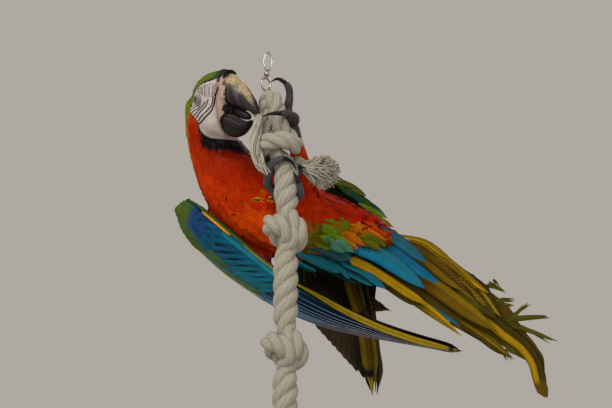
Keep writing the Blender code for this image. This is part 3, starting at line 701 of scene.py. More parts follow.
def markings(points):
    """The bird's colour at each point."""
    points = np.asarray(points, float).reshape(-1, 3)
    head = to_head(points)
    face = face_depth(head)
    soft = wobble(points, 34, 1)
    streak = wobble(points * (1, 1, 1.6), 13, 2)
    colour = head_feather_colours(body_colours(points, soft, streak), head, face, soft, streak)
    bare = ramp(-0.6, 0.6, face) * (norm(head - SKULL_MIDDLE) < 74)
    return mix(colour, bare_skin_colours(head, soft), bare)


# ---------------------------------------------------------------- the skin
FLESH = ["head", "neck", "trunk", "thigh_right", "thigh_left"]


def largest_body(bm):
    """Deletes every connected body of a bmesh but the largest."""
    left, best = set(bm.verts), []
    while left:
        stack, body = [left.pop()], []
        while stack:
            vert = stack.pop()
            body.append(vert)
            for edge in vert.link_edges:
                other = edge.other_vert(vert)
                if other in left:
                    left.discard(other)
                    stack.append(other)
        best.append(body)
    best.sort(key=len)
    bmesh.ops.delete(bm, geom=[v for body in best[:-1] for v in body], context="VERTS")


def melted_flesh():
    """Head, neck, trunk and thighs run together into one skin, as a bmesh in millimetres."""
    bm = bmesh.new()
    for name in FLESH:
        bm.from_mesh(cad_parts[name].data)
    bmesh.ops.remove_doubles(bm, verts=bm.verts, dist=1e-6)
    mesh = bpy.data.meshes.new("flesh")
    bm.to_mesh(mesh)
    bm.free()
    obj = bpy.data.objects.new("flesh", mesh)
    bpy.context.scene.collection.objects.link(obj)
    melt = obj.modifiers.new("melt", "REMESH")
    melt.mode = "VOXEL"
    melt.voxel_size = 2.0 * MM
    soften = obj.modifiers.new("soften", "SMOOTH")
    soften.factor = 0.5
    soften.iterations = 8
    graph = bpy.context.evaluated_depsgraph_get()
    bm = bmesh.new()
    bm.from_mesh(bpy.data.meshes.new_from_object(obj.evaluated_get(graph)))
    bpy.data.objects.remove(obj)
    largest_body(bm)
    bmesh.ops.scale(bm, vec=(1 / MM,) * 3, verts=bm.verts)
    return bm


def face_relief(head):
    """Folds of the bare face: the roll along the bill, rings round the eye and fine creases."""
    x, z = head[:, 0], head[:, 2]
    roll = np.exp(-(((x + 12.5 - 0.0015 * (z + 8) ** 2) / 2.6) ** 2)) * 0.9
    roll = roll - 1.6 * np.exp(-(((x + 14.6) / 1.3) ** 2 + ((z - 25) / 3.4) ** 2))
    eye = norm((head - EYE)[:, [0, 2]] * (1, 1.12))
    rings = 0.7 * np.exp(-(((eye - 9.2) / 1.1) ** 2)) + 0.35 * np.exp(-(((eye - 11.8) / 0.8) ** 2))
    rings = rings - 0.5 * ramp(7.5, 4, eye)
    slant = x * 0.75 + z * 0.66
    creases = 0.16 * np.sin(slant / 2.3 * 2 * math.pi + 1.3 * wobble(head, 9, 5)) * ramp(-48, -8, x)
    return (roll + rings + creases) * ramp(0, 3, face_depth(head))


def skin_arrays():
    """The skin's points, point normals and triangles, set in from the flesh by the coat's depth."""
    bm = melted_flesh()
    middles = np.array([(e.verts[0].co + e.verts[1].co) / 2 for e in bm.edges])
    fine = (face_depth(to_head(middles)) > -4) & near_face(to_head(middles))
    edges = [e for e, chosen in zip(list(bm.edges), fine) if chosen]
    bmesh.ops.subdivide_edges(bm, edges=edges, cuts=1, use_grid_fill=True)
    bmesh.ops.triangulate(bm, faces=bm.faces)
    bm.normal_update()
    points = np.array([v.co for v in bm.verts])
    normals = np.array([v.normal for v in bm.verts])
    head = to_head(points)
    under_bill = 4.0 * ramp(-15.5, -12.5, head[:, 0]) * ramp(-56, -48, head[:, 2])
    lift = np.where(near_face(head), face_relief(head) - under_bill, 0) - coat_depth(points)
    for vert, spot in zip(bm.verts, points + normals * lift[:, None]):
        vert.co = spot
    bm.normal_update()
    points = np.array([v.co for v in bm.verts])
    normals = np.array([v.normal for v in bm.verts])
    tris = np.array([[v.index for v in f.verts] for f in bm.faces])
    bm.free()
    return points, normals, tris


skin_points, skin_normals, skin_tris = skin_arrays()
skin_tree = BVHTree.FromPolygons(skin_points.tolist(), skin_tris.tolist())


def nearest_on_skin(points):
    """The skin's nearest points and its smooth outward normals there."""
    spots, normals = np.empty_like(points), np.empty_like(points)
    for i, p in enumerate(points):
        spot, _, face, _ = skin_tree.find_nearest(p)
        spots[i] = spot
        normals[i] = skin_normals[skin_tris[face]].mean(0)
    return spots, unit(normals)


# ---------------------------------------------------------------- feathers
BAKE_PATCH = 0.003  # the width of one feather's patch on the OFBake map
HEAD_COAT_MIDDLE, HEAD_COAT_REACH = (-36, 0, -6), 56


def leaf_faces(rows, cols):
    """Corners of a closed thin leaf: an upper and a lower sheet that share their rim."""
    top = np.arange(rows * cols).reshape(rows, cols)
    under = top.copy()
    under[1:-1, 1:-1] = np.arange((rows - 2) * (cols - 2)).reshape(rows - 2, cols - 2) + rows * cols
    sheets = []
    for grid, order in ((top, 1), (under, -1)):
        quads = np.stack([grid[:-1, :-1], grid[1:, :-1], grid[1:, 1:], grid[:-1, 1:]], -1).reshape(-1, 4)
        sheets.append(quads[:, ::order])
    return np.concatenate(sheets)


# Outlines: half the width of a feather as a share of its most, from the root (0) to the tip (1).
def contour(s):
    return np.clip((s / 0.42 + 0.12) ** 0.7, 0, 1) * (1 - 0.52 * np.clip((s - 0.55) / 0.45, 0, 1) ** 2.2)


def flight(s):
    return np.clip((s / 0.10 + 0.15) ** 0.8, 0, 1) * np.sqrt(
        np.clip(1 - np.clip((s - 0.72) / 0.30, 0, 1) ** 2.2, 0.02, 1)
    )


def lobe(s):
    return np.clip((s / 0.30 + 0.1) ** 0.8, 0, 1) * np.sqrt(
        np.clip(1 - np.clip((s - 0.55) / 0.47, 0, 1) ** 1.9, 0.01, 1)
    )


def sliver(s):
    return np.clip(0.45 + s / 0.35, 0, 1) * (1 - 0.85 * np.clip((s - 0.35) / 0.65, 0, 1) ** 1.3)


def add_vanes(
    shape, spine, side, up, half, outline, cols=5, bulge=0.10, thick=0.35, fray=0.2, tip=0.6, quill=0.0,
    tint=(1, 1, 1), spots=None, skew=0.0, rim=0.0
):
    """Adds closed leaves. spine, side and up are arrays of leaves by rows by three."""
    n, rows = spine.shape[:2]
    s = np.linspace(0, 1, rows)
    a = np.linspace(-1, 1, cols)
    number = rng.random(n)
    width = np.asarray(half)[:, None] * outline(s)[None]
    if rim:
        width = width * (1 + rim * rng.normal(0, 1, width.shape) * np.sin(s * math.pi))
    across = width[:, :, None] * (a + skew * (1 - a * a))
    length = norm(np.diff(spine, axis=1)).sum(1)
    ahead = unit(spine[:, -1] - spine[:, -2])
    late = np.clip((s - 0.55) / 0.45, 0, 1) ** 1.5
    notch = rng.normal(0, 1, (n, cols)) * fray + fray * ((np.arange(cols) % 2) - 0.5) * 1.6
    shift = late[None, :, None] * np.asarray(half)[:, None, None] * (
        notch[:, None] - tip * (a * a)[None, None]
    )
    body = spine[:, :, None] + side[:, :, None] * across[..., None] + ahead[:, None, None] * shift[..., None]
    drop = bulge * across**2 / np.maximum(np.asarray(half)[:, None, None], 1e-6)
    mound = thick / 2 * (1 - a * a) + quill * np.exp(-((a / 0.10) ** 2)) * (1 - s[:, None] * 0.8)
    top = body + up[:, :, None] * (mound - drop)[..., None]
    under = body - up[:, :, None] * (mound + drop)[..., None]
    flat = lambda grid: grid.reshape(n, -1, *grid.shape[3:])
    sheets = lambda upper, lower: np.concatenate([flat(upper), flat(lower[:, 1:-1, 1:-1])], axis=1)
    points = sheets(top, under)
    rows_of = np.broadcast_to(s[:, None], (rows, cols))
    cols_of = np.broadcast_to(a[None], (rows, cols))
    pick = lambda grid: np.concatenate([grid.reshape(-1), grid[1:-1, 1:-1].reshape(-1)])
    share, place_across = pick(rows_of), pick(cols_of)
    vane = np.stack(np.broadcast_arrays(share[None], place_across[None], number[:, None]), -1)
    barb = s[None, :, None] * length[:, None, None] - np.abs(across) * 0.9
    tint = np.asarray(tint, float)
    if tint.ndim == 2:
        tint = tint[:, None]
    elif tint.ndim == 4:
        tint = sheets(tint, tint)
    tint = np.broadcast_to(tint, points.shape)
    spots = np.zeros((n, 2)) if spots is None else spots
    spot = spots[:, None] + BAKE_PATCH * np.stack([share - 0.5, place_across * 0.5], -1)[None]
    faces = leaf_faces(rows, cols)
    per = points.shape[1]
    quads = (faces[None] + np.arange(n)[:, None, None] * per).reshape(-1, 4)
    shape.add(
        points.reshape(-1, 3), quads, tint=tint.reshape(-1, 3), vane=vane.reshape(-1, 3),
        barb=sheets(barb, barb).reshape(-1), spot=spot.reshape(-1, 2),
    )


def flow(points, normals):
    """The way that feathers lie: back from the bill, then along the body, and down the thighs."""
    head = to_head(points)
    from_bill = head - BILL_ROOT
    reach = norm(from_bill)
    out = unit(from_bill) @ HEAD_TURN.T
    _, _, near = on_body(points)
    along = BODY_ALONG[near]
    share = ramp(34, 84, reach)[:, None]
    way = out * (1 - share) + along * share
    close, _, down = on_thigh(points)
    way = way * (1 - close[:, None]) + down * close[:, None]
    return square_to(normals, way)


def scatter(spacing_of, wanted):
    """Roots on the skin, no closer to each other than the spacing there."""
    corners = skin_points[skin_tris]
    areas = norm(np.cross(corners[:, 1] - corners[:, 0], corners[:, 2] - corners[:, 0]))
    middles = corners.mean(1)
    chance = areas / spacing_of(middles) ** 2
    chosen = rng.choice(len(skin_tris), size=wanted, p=chance / chance.sum())
    u, v = rng.random(wanted), rng.random(wanted)
    over = u + v > 1
    u[over], v[over] = 1 - u[over], 1 - v[over]
    c = corners[chosen]
    points = c[:, 0] + (c[:, 1] - c[:, 0]) * u[:, None] + (c[:, 2] - c[:, 0]) * v[:, None]
    spacing = spacing_of(points)
    tree = KDTree(wanted)
    for i, p in enumerate(points):
        tree.insert(p, i)
    tree.balance()
    alive = np.ones(wanted, bool)
    kept = []
    for i in range(wanted):
        if not alive[i]:
            continue
        kept.append(i)
        for _, j, _ in tree.find_range(points[i], spacing[i]):
            alive[j] = False
    return points[kept]


def grow(roots, lengths, rows=5, lift=0.034, start=0.25, lean=None):
    """Spines that walk over the skin from their roots, rising towards the tip."""
    spot, normal = nearest_on_skin(roots)
    way = flow(spot, normal) if lean is None else square_to(normal, lean)
    turn = rng.normal(0, 0.07, len(roots))[:, None]
    way = unit(way + np.cross(normal, way) * turn)
    step = (lengths / (rows - 1))[:, None]
    spine, ups, sides = [], [], []
    for row in range(rows):
        height = start + lift * lengths * (row / (rows - 1)) ** 1.1
        spine.append(spot + normal * height[:, None])
        ups.append(normal)
        sides.append(np.cross(normal, way))
        if row < rows - 1:
            spot, ahead = nearest_on_skin(spot + way * step)
            way = unit(way + 0.35 * (flow(spot, ahead) - way)) if lean is None else way
            normal = unit(0.4 * normal + 0.6 * ahead)
            way = square_to(normal, way)
    return np.stack(spine, 1), np.stack(sides, 1), np.stack(ups, 1)


def unwrap(points):
    """A flat map of the skin: body and thighs as cylinders round their axes, the head as a ball."""
    share, angle, _ = on_body(points)
    head = to_head(points) - SKULL_MIDDLE
    near, along, _ = on_thigh(points)
    body = np.stack([0.03 + 0.56 * share, 0.5 + angle / 360 * 0.94], -1)
    longitude = np.arctan2(head[:, 1], head[:, 2])
    latitude = np.arccos(np.clip(head[:, 0] / np.maximum(norm(head), 1e-6), -1, 1))
    ball = np.stack([0.64 + 0.34 * (0.5 + longitude / (2 * math.pi)), 0.50 + 0.48 * latitude / math.pi], -1)
    round_way = np.arctan2(points[:, 0] - 10, points[:, 2] - 480) / (2 * math.pi) + 0.5
    leg = np.stack([0.64 + 0.34 * round_way, 0.03 + 0.4 * np.clip(along, 0, 1.15) / 1.15], -1)
    on_head = norm(head) < 50
    spots = np.where(on_head[:, None], ball, body)
    return np.where((near > 0.5)[:, None], leg, spots)


def coat_spacing(points):
    """The gap between roots, wide on the bare face so that few are tried there."""
    tight = 0.235 * feather_length(points)
    return np.where(on_bare_face(to_head(points)), 40.0, np.maximum(tight, 1.15))


def make_coat():
    """Body feathers in pieces by region, each under the triangle limit."""
    roots = scatter(coat_spacing, 90000)
    roots = roots[~on_bare_face(to_head(roots))]
    lengths = feather_length(roots) * rng.uniform(0.85, 1.2, len(roots))
    head = to_head(roots)
    round_face = (face_depth(head) > -6) & near_face(head, FACE_REACH - 2)
    lengths = np.where(round_face, np.minimum(lengths, 4.2), lengths)
    share, angle, _ = on_body(roots)
    near, _, _ = on_thigh(roots)
    from_head = norm(head - HEAD_COAT_MIDDLE)
    region = np.select(
        [from_head < HEAD_COAT_REACH, near > 0.5, share < 0.36, np.abs(angle) > 92, share < 0.62],
        [0, 1, 2, 3, 4], 5,
    )
    names = ["coat_head", "coat_thighs", "coat_neck", "coat_back", "coat_breast", "coat_belly"]
    spine, side, up = grow(roots, lengths)
    colours = markings(roots + 0.3 * lengths[:, None] * flow(roots, up[:, 0]))
    colours = colours * rng.uniform(0.90, 1.07, (len(roots), 1))
    spots = unwrap(roots)
    for number, name in enumerate(names):
        own = region == number
        wide = (0.40 if number == 0 else 0.50) * lengths[own]
        shape = Shape()
        add_vanes(
            shape, spine[own], side[own], up[own], wide, contour, cols=5, bulge=0.02, thick=0.10,
            fray=0.14, tint=colours[own], spots=spots[own],
        )
        shape.build(name, FEATHER, bake=True)


make_coat()


# ---------------------------------------------------------------- skin piece: body, lids and face lines
SIDES_OF_HEAD = (1, -1)


def eye_frame(sign):
    """Centre and outward, forward and upward directions of one eye, in the head's frame."""
    centre = np.array((EYE[0], sign * EYE[1], EYE[2]))
    out = unit((0.10, sign, 0.10))
    ahead = unit(np.array((1.0, 0, 0)) - out * out[0])
    return centre, out, ahead, np.cross(ahead, out) * sign


def on_ball(sign, polar, azimuth, radius):
    """Points round an eye from the angle to its axis and the angle round it, in degrees."""
    centre, out, ahead, up = eye_frame(sign)
    polar, azimuth, radius = (
        np.asarray(v, float)[..., None] for v in (np.radians(polar), np.radians(azimuth), radius)
    )
    return centre + radius * (
        np.cos(polar) * out + np.sin(polar) * (np.cos(azimuth) * ahead + np.sin(azimuth) * up)
    )


def add_lids(shape):
    """A ring of skin round each eye with a slanting, half closed slit."""
    sides = 64
    azimuth = np.arange(sides) * 360 / sides
    slit = np.radians(azimuth + 42)
    long_way, short_way = 38.0, 13.0
    inner = long_way * short_way / np.sqrt((short_way * np.cos(slit)) ** 2 + (long_way * np.sin(slit)) ** 2)
    for sign in SIDES_OF_HEAD:
        rows = []
        for share, height in ((0, 0.15), (0.0, 0.75), (0.10, 1.0), (0.24, 0.72), (0.36, 0.98), (0.50, 0.74),
                              (0.64, 1.0), (0.8, 0.8), (1.0, 0.5), (1.0, -0.6), (0.5, -0.3)):
            polar = inner + (92 - inner) * share
            rows.append(on_ball(sign, polar, azimuth, EYE_R + height + 0 * azimuth))
        points = np.array(rows)
        wrapped = np.concatenate([points, points[:1]])
        quads = grid_faces(len(wrapped), sides, wrap=True) % (len(points) * sides)
        if sign > 0:
            quads = quads[:, ::-1]
        shade = np.array([0.05, 0.08, 0.26, 0.36, 0.46, 0.46, 0.60, 0.66, 0.80, 0.85, 0.2])
        tint = np.array(FACE) * shade[:, None, None] * np.ones((1, sides, 1))
        shape.add(in_head(points.reshape(-1, 3)), quads, tint=tint.reshape(-1, 3))


FACE_LINES = [  # points back from the bill and up, and half the width of its small feathers
    ([(-44.5, -31.5), (-37.5, -29), (-28.5, -23), (-20.5, -16), (-16, -6), (-14.6, 4.5), (-13.6, 15)], 1.1),
    ([(-44, -27.5), (-37.5, -23), (-28.5, -17), (-20.5, -10), (-17.6, -2), (-16.8, 2.5)], 0.95),
    ([(-47.5, -24), (-41.5, -19), (-33.2, -12.8), (-27, -7.1), (-23.8, -0.5)], 0.85),
    ([(-50.5, -20.5), (-42.5, -15), (-35, -9.6), (-28.5, -3.4)], 0.78),
    ([(-54, -17), (-50, -14), (-44, -12), (-37, -8)], 0.7), ([(-56, -13.2), (-53, -11), (-46.5, -8.6)], 0.6),
    ([(-56, -8.5), (-53.5, -7), (-50.5, -6.8)], 0.55),
]
LORES = {  # a fan of broken lines before the eye: where it starts, where it ends, and its rays
    "foot": [(-41, 9), (-35, 5.5), (-28, 2), (-20, 0.5), (-13.5, 3)],
    "top": [(-44, 14.5), (-38, 18.5), (-30, 20.5), (-20, 21.5), (-13, 18)],
    "rays": 15,
}


def on_face(sign, x, z):
    """Points and outward normals of the head's side at places given in the head's frame."""
    points, normals = [], []
    for a, b in zip(x, z):
        start = in_head((a, sign * 60, b))
        spot, _, face, _ = skin_tree.ray_cast(Vector(start), Vector(HEAD_TURN @ np.array((0, -sign, 0))))
        points.append(spot)
        normals.append(skin_normals[skin_tris[face]].mean(0))
    return np.array(points), unit(np.array(normals))


def add_ticks(shape, sign, line, half, step, tick, phase=0.0):
    """A row of tiny black feathers along a line on the face."""
    line = np.array(line, float)
    length = length_of(line)
    shares = np.arange(phase * step, length - 0.5 * tick, step) / length
    rows = []
    for row in range(4):
        shifted = np.clip(shares + row / 3 * tick / length, 0, 1.0)
        at = spline(line, shifted) + rng.normal(0, 0.09, (len(shares), 2))
        rows.append(on_face(sign, at[:, 0], at[:, 1]))
    points = np.stack([r[0] for r in rows], 1)
    up = np.stack([r[1] for r in rows], 1)
    points = points + up * (0.15 + np.array((0.0, 0.25, 0.4, 0.5))[None, :, None])
    keep = norm(points[:, -1] - points[:, 0]) > 0.5
    points, up = points[keep], up[keep]
    side = unit(np.cross(up, unit(points[:, -1] - points[:, 0])[:, None] + 0 * up))
    tint = np.array(SOOT) * rng.uniform(0.6, 1.5, (len(points), 1))
    add_vanes(
        shape, points, side, up, half * rng.uniform(0.85, 1.15, len(points)), sliver, cols=3, thick=0.25,
        fray=0.1, tint=tint, spots=unwrap(points[:, 0]), bulge=0.05,
    )


def make_face_lines():
    """The lines of tiny black feathers across the bare face."""
    shape = Shape()
    for sign in SIDES_OF_HEAD:
        for line, half in FACE_LINES:
            add_ticks(shape, sign, line[::-1], half, 1.1, 3.0)
        rays = LORES["rays"]
        for k, share in enumerate(np.linspace(0, 1, rays)):
            foot, top = spline(LORES["foot"], share), spline(LORES["top"], share)
            middle = (foot + top) / 2 + (0.8 * math.sin(2.4 * k), 0)
            add_ticks(shape, sign, [foot, middle, top], 0.62, 2.7, 2.1, 0.5 * (k % 2))
    shape.build("face_lines", FEATHER, bake=True)


def make_skin():
    """The flesh in one piece with the lids round the eyes."""
    shape = Shape()
    shape.add(skin_points, tris=skin_tris, tint=markings(skin_points) * 0.92)
    add_lids(shape)
    shape.build("skin", SKIN, FLESH)


def make_eyes():
    """Two balls with a low bulge over the iris."""
    for sign, name in ((1, "right"), (-1, "left")):
        shape = Shape()
        polar, azimuth = np.linspace(0.5, 179.5, 48), np.arange(48) * 7.5
        radius = EYE_R - 0.15 + 0.55 * np.exp(-((polar / 24) ** 2))
        p, a = np.meshgrid(polar, azimuth, indexing="ij")
        points = on_ball(sign, p, a, np.broadcast_to(radius[:, None], p.shape))
        reach = np.where(p > 90, EYE_R, np.sin(np.radians(p)) * EYE_R)
        vane = with_ends(np.stack([reach, a * 0.1, 0 * a], -1))
        add_loft(shape, in_head(points), flip=sign > 0, vane=vane)
        shape.build(f"eyeball_{name}", WET, [f"eye_{name}"])


# ---------------------------------------------------------------- bill and tongue
def bill_points(stations, turn_over, rows=64, sides=40):
    """Sections of half the bill in the head's frame, round at the ridge, flat along the cutting edge."""
    share = np.linspace(0, 1, rows)
    ridge = spline([(x, 0, z) for (x, z), _, _ in stations], share)
    edge = spline([(x, 0, z) for _, (x, z), _ in stations], share)
    width = spline([w for _, _, w in stations], share)
    top, low = (ridge, edge) if turn_over > 0 else (edge, ridge)
    up = unit(top - low)
    high = norm(top - low)
    centre = low + up * high[:, None] * 0.3
    angle = 2 * math.pi * (np.arange(sides) + 0.5) / sides
    rise = np.cos(angle) * np.where(np.cos(angle) > 0, 0.7, 0.3)
    points = centre[:, None] + up[:, None] * (high[:, None] * rise)[..., None]
    points[..., 1] += width[:, None] * np.sin(angle)
    return points, share, angle


def add_loft(shape, rings, flip=False, **extra):
    """Rings joined to a closed skin; flip turns it inside out."""
    rows, sides = rings.shape[:2]
    quads, tris = close_ends(rows, sides)
    if flip:
        quads, tris = quads[:, ::-1], tris[:, ::-1]
    shape.add(with_ends(rings), quads, tris, **extra)


def with_ends(values):
    """Values of a loft's rings with those of its two end points."""
    first, last = values[0].mean(0, keepdims=True), values[-1].mean(0, keepdims=True)
    return np.concatenate([values.reshape(-1, values.shape[-1]), first, last])


PALE_HORN, CHALKY_HORN, WARM_HORN = (0.36, 0.27, 0.16), (0.10, 0.075, 0.065), (0.16, 0.12, 0.10)


def from_ridge(angle):
    """Degrees from the top of a section, on either side."""
    return np.degrees(np.minimum(angle, 2 * math.pi - angle))[None]


def make_upper_bill():
    """The hooked upper half, dark with a pale ridge and a chalky bloom."""
    rings, share, angle = bill_points(BILL_UPPER, 1)
    s, a = share[:, None], from_ridge(angle)
    rough = 0.12 * np.sin(a / 9 + 9 * s) * np.sin(s * 40)
    rings = rings + np.stack([0 * rough, 0 * rough, rough * 0.3], -1)
    pale_width = 60 + 4 * wobble(rings, 7, 4)
    pale = ramp(1.10, 0.86, a / pale_width) * ramp(0.80, 0.50, s + 0.12 * ramp(40, 0, a))
    pale = np.maximum(pale, ramp(0.035, 0.015, s))
    tint = mix(np.array(HORN) * 1.3, PALE_HORN, pale)
    tint = mix(tint, CHALKY_HORN, ramp(0.3, 0.9, wobble(rings * (1, 1, 0.4), 6, 8)) * 0.6)
    local = np.stack(np.broadcast_arrays(s * 6, a / 180, 0 * rough), -1)
    shape = Shape()
    add_loft(shape, in_head(rings), tint=with_ends(tint), vane=with_ends(local))
    shape.build("horn_upper", HORNY, ["bill_upper"])


def make_lower_bill():
    rings, share, angle = bill_points(BILL_LOWER, -1)
    s, a = share[:, None], from_ridge(angle)
    tint = mix(np.array(HORN), np.array(HORN) * 1.5, ramp(-0.5, 0.8, wobble(rings, 8, 9)))
    tint = mix(tint, WARM_HORN, ramp(28, 14, np.abs(a - 150)) * ramp(1.0, 0.6, s) * 0.25)
    local = np.stack(np.broadcast_arrays(s * 5, a / 180, 0 * s * a), -1)
    shape = Shape()
    add_loft(shape, in_head(rings), flip=True, tint=with_ends(tint), vane=with_ends(local))
    shape.build("horn_lower", HORNY, ["bill_lower"])


def make_tongue():
    rows = 22
    shape = Shape()
    share = np.linspace(0, 1, rows)
    line = spline([p for p, _ in TONGUE], share)
    blunt_ends = np.sqrt(np.clip(1.02 - np.linspace(-0.9, 1, rows) ** 6, 0.05, 1))
    radii = spline([r for _, r in TONGUE], share) * blunt_ends
    shape.tube(in_head(line), radii, 20, tint=(0.013, 0.010, 0.011))
    shape.build("tongue_horny", HORNY, ["tongue"])


# ---------------------------------------------------------------- feet
def around_rope(steps, radius=ROPE_R + 0.35 + TOE_R):
    """Points round the rope at the lower grip: angle from the front in degrees, and rise."""
    steps = np.array(steps, float)
    turn = np.radians(steps[:, 0])
    return np.stack([radius * np.sin(turn) - 3, -radius * np.cos(turn), GRIP_Z + steps[:, 1]], -1)


TOES = {  # line from the palm to the claw's tip, and the share where the claw starts
    "right_1": (around_rope([(172, -12), (130, -18), (95, -20), (68, -10), (52, -2), (34, 6)]), 0.66),
    "right_2": (
        around_rope([(-172, -6), (-130, -8), (-92, 0), (-52, 15), (-8, 22), (28, 19), (50, 8)]), 0.70
    ),
    "right_3": (around_rope([(-176, 11), (-140, 17), (-112, 24), (-88, 29), (-66, 30)]), 0.66),
    "right_4": (around_rope([(176, 11), (138, 12), (104, 14), (80, 16), (60, 17)]), 0.68),
    "left_1": ([(0, 24, 558), (-13, 29, 555), (-27, 26, 556), (-36, 16, 557)], 0.66),
    "left_2": (
        [(3, 16, 572), (2, 11, 586), (4, 6, 599), (3, 1, 611), (-4, -2, 619), (-13, -4, 622), (-21, -5, 617)],
        0.6,
    ),
    "left_3": (
        [(9, 10, 563), (12, -6, 566), (3, -20, 567), (-9, -25, 566), (-20, -26, 565), (-31, -23, 562)], 0.56
    ),
    "left_4": ([(-1, 24, 571), (-13, 27, 580), (-26, 23, 587), (-34, 13, 590)], 0.68),
}
PALMS = {
    "right": [(-18, 44, 474), (-10, 36, 477), (-3, 29, 482), (-3, 27.5, 492)],
    "left": [(13, 34, 549), (11, 24, 556), (5, 15, 562), (3, 13, 572)],
}
PALM_RADII = {"right": (7.5, 6.5, 8.5, 6), "left": (7.5, 8.5, 11, 7)}
TOE_SHARES, CLAW_SHARES = np.array((1, 1.05, 0.92, 0.85, 0.72)), np.array((1, 0.84, 0.52, 0.16))
PALM_TONE = (0.055, 0.048, 0.052)
TOE_TONES = {"right": (0.062, 0.062, 0.070), "left": (0.050, 0.040, 0.042)}


def scuted(line, radii, step=2.6, depth=0.055):
    """A closely sampled line and its radii, with a ridge at each scute and swollen joints."""
    length = length_of(line)
    count = max(24, int(length / 0.55))
    share = np.linspace(0, 1, count)
    phase = (share * length / step) % 1
    radius = spline(radii, share) * (1 + depth * (0.5 - phase) + 0.05 * np.sin(share * math.pi * 5.5))
    ends = np.sqrt(np.clip(1 - (1 - np.minimum(share / 0.06, 1)) ** 2, 0.08, 1))
    return spline(line, share), radius * ends


def make_feet():
    """Scuted palms and toes with smooth curved claws."""
    for side, line in PALMS.items():
        shape = Shape()
        path, radius = scuted(line, np.array(PALM_RADII[side]) * 0.96, 3.2)
        shape.tube(path, radius, 28, tint=PALM_TONE)
        shape.build(f"hide_foot_{side}", HIDE, [f"foot_{side}"])
    for name, (line, claw) in TOES.items():
        line = np.array(line, float)
        tone = np.array(TOE_TONES[name.split("_")[0]])
        shape = Shape()
        bones = spline(line, np.linspace(0, claw, 9))
        path, radius = scuted(bones, TOE_SHARES * TOE_R)
        shape.tube(path, radius, 28, tint=tone)
        shape.build(f"hide_toe_{name}", HIDE, [f"toe_{name}"])
        shape = Shape()
        share = np.linspace(0, 1, 28)
        path = spline(line, claw - 0.02 + (1.0 - claw + 0.02) * share)
        radius = spline(CLAW_SHARES * CLAW_R, share)
        shape.tube(path, radius, 20, flat=0.86, tint=np.array(HORN) * 0.9, vane=(0, 0, 0))
        shape.build(f"horn_claw_{name}", HORNY, [f"claw_{name}"])


# ---------------------------------------------------------------- rope
KNOT_TURNS = np.array([
    (0, 0, 34), (2, -1, 20), (12, -10, 6), (17, -4, -10), (6, 13, -16), (-13, 13, -2),
    (-19, -3, 8), (-8, -15, 4), (6, -11, -10), (2, -1, -22), (0, 0, -34),
], float)
BIGHT = np.array([  # once round the rope, up, over and back down to its top
    (23, 6, 503), (8, 14, 508), (-12, 17, 512), (-30, 7, 521), (-25, -13, 530), (-2, -20, 531),
    (12, -8, 527), (4, 3, 541), (-11, -1, 562), (-13, -2, 583), (-21, 3, 599), (-28, 8, 586),
    (-29, 9, 566), (-26, 7, 544), (-14, 2, 522), (-2, 0, 505),
], float)
BITTEN = [(-35, -12, 567), (-39, -14, 545), (-40, -16, 521), (-34, -17, 500), (-24, -14, 486)]
BITTEN_R = (5, 8, 8.5, 8, 6)
TASSEL_ROOT, TASSEL_MIDDLE = np.array((24.0, 7, 502)), np.array((43.0, 9, 497))
COTTON_TONE = (0.365, 0.340, 0.275)
YARN_PITCH = 19


def add_rope(shape, path, radius, sides=30, yarns=8):
    """Three strands laid round a path. Each strand's section shows its yarns, which twist the other way."""
    path = np.asarray(path, float)
    _, side, front = carried_frames(path)
    length = np.concatenate([[0], np.cumsum(norm(np.diff(path, axis=0)))])
    strand, offset = radius * 0.53, radius * 0.50
    for k in range(3):
        lay = 2 * math.pi * (length / ROPE_PITCH + k / 3)
        centre = path + (side * np.cos(lay)[:, None] + front * np.sin(lay)[:, None]) * offset[:, None]
        _, s, f = carried_frames(centre)
        angle = round_angles(sides)
        turn = yarns * angle[None] + 2 * math.pi * length[:, None] / YARN_PITCH
        ripple = 1 + 0.045 * np.abs(np.sin(turn / 2)) ** 0.6 + 0.02 * wobble(centre, 16, 20 + k)[:, None]
        rings = centre[:, None] + circle(s, f, angle) * (strand[:, None] * ripple)[..., None]
        # painted shade: the grooves between the yarns are darker
        groove_shade = mix(np.array(COTTON_TONE) * 0.62, COTTON_TONE, np.abs(np.sin(turn / 2)) ** 0.5)
        local = np.stack([length[:, None] + 0 * turn, turn / 6.3, 0 * turn + k], -1)
        add_loft(shape, rings, flip=False, tint=with_ends(groove_shade), vane=with_ends(local))


def upright(top, foot, count):
    """Points down the rope's straight axis."""
    heights = np.linspace(top, foot, count)
    return np.stack([0 * heights, 0 * heights, heights], -1)


def rope_path():
    """The rope's whole line from the bight at the top to the cut end, and its radius."""
    parts = [(spline(BIGHT, np.linspace(0, 1, 300)), BIGHT_R)]
    height = BIGHT[0, 2]
    for centre in sorted(KNOTS.values(), reverse=True):
        parts.append((upright(height, centre + KNOT_HALF, 40), ROPE_R))
        parts.append((spline(KNOT_TURNS, np.linspace(0, 1, 160)) + (0, 0, centre), KNOT_R))
        height = centre - KNOT_HALF
    parts.append((upright(height, ROPE_FOOT, 60), ROPE_R))
    path = np.concatenate([p for p, _ in parts])
    radius = np.concatenate([np.full(len(p), r) for p, r in parts])
    length = np.concatenate([[0], np.cumsum(norm(np.diff(path, axis=0)))])
    even = np.linspace(0, length[-1], int(length[-1] / 1.3))
    path = np.stack([np.interp(even, length, path[:, k]) for k in range(3)], -1)
    radius = np.interp(even, length, radius)
    kernel = np.hanning(13)
    kernel /= kernel.sum()
    soft = lambda v: np.convolve(np.pad(v, 6, mode="edge"), kernel, "valid")
    path = np.stack([soft(path[:, k]) for k in range(3)], -1)
    return path, soft(radius)


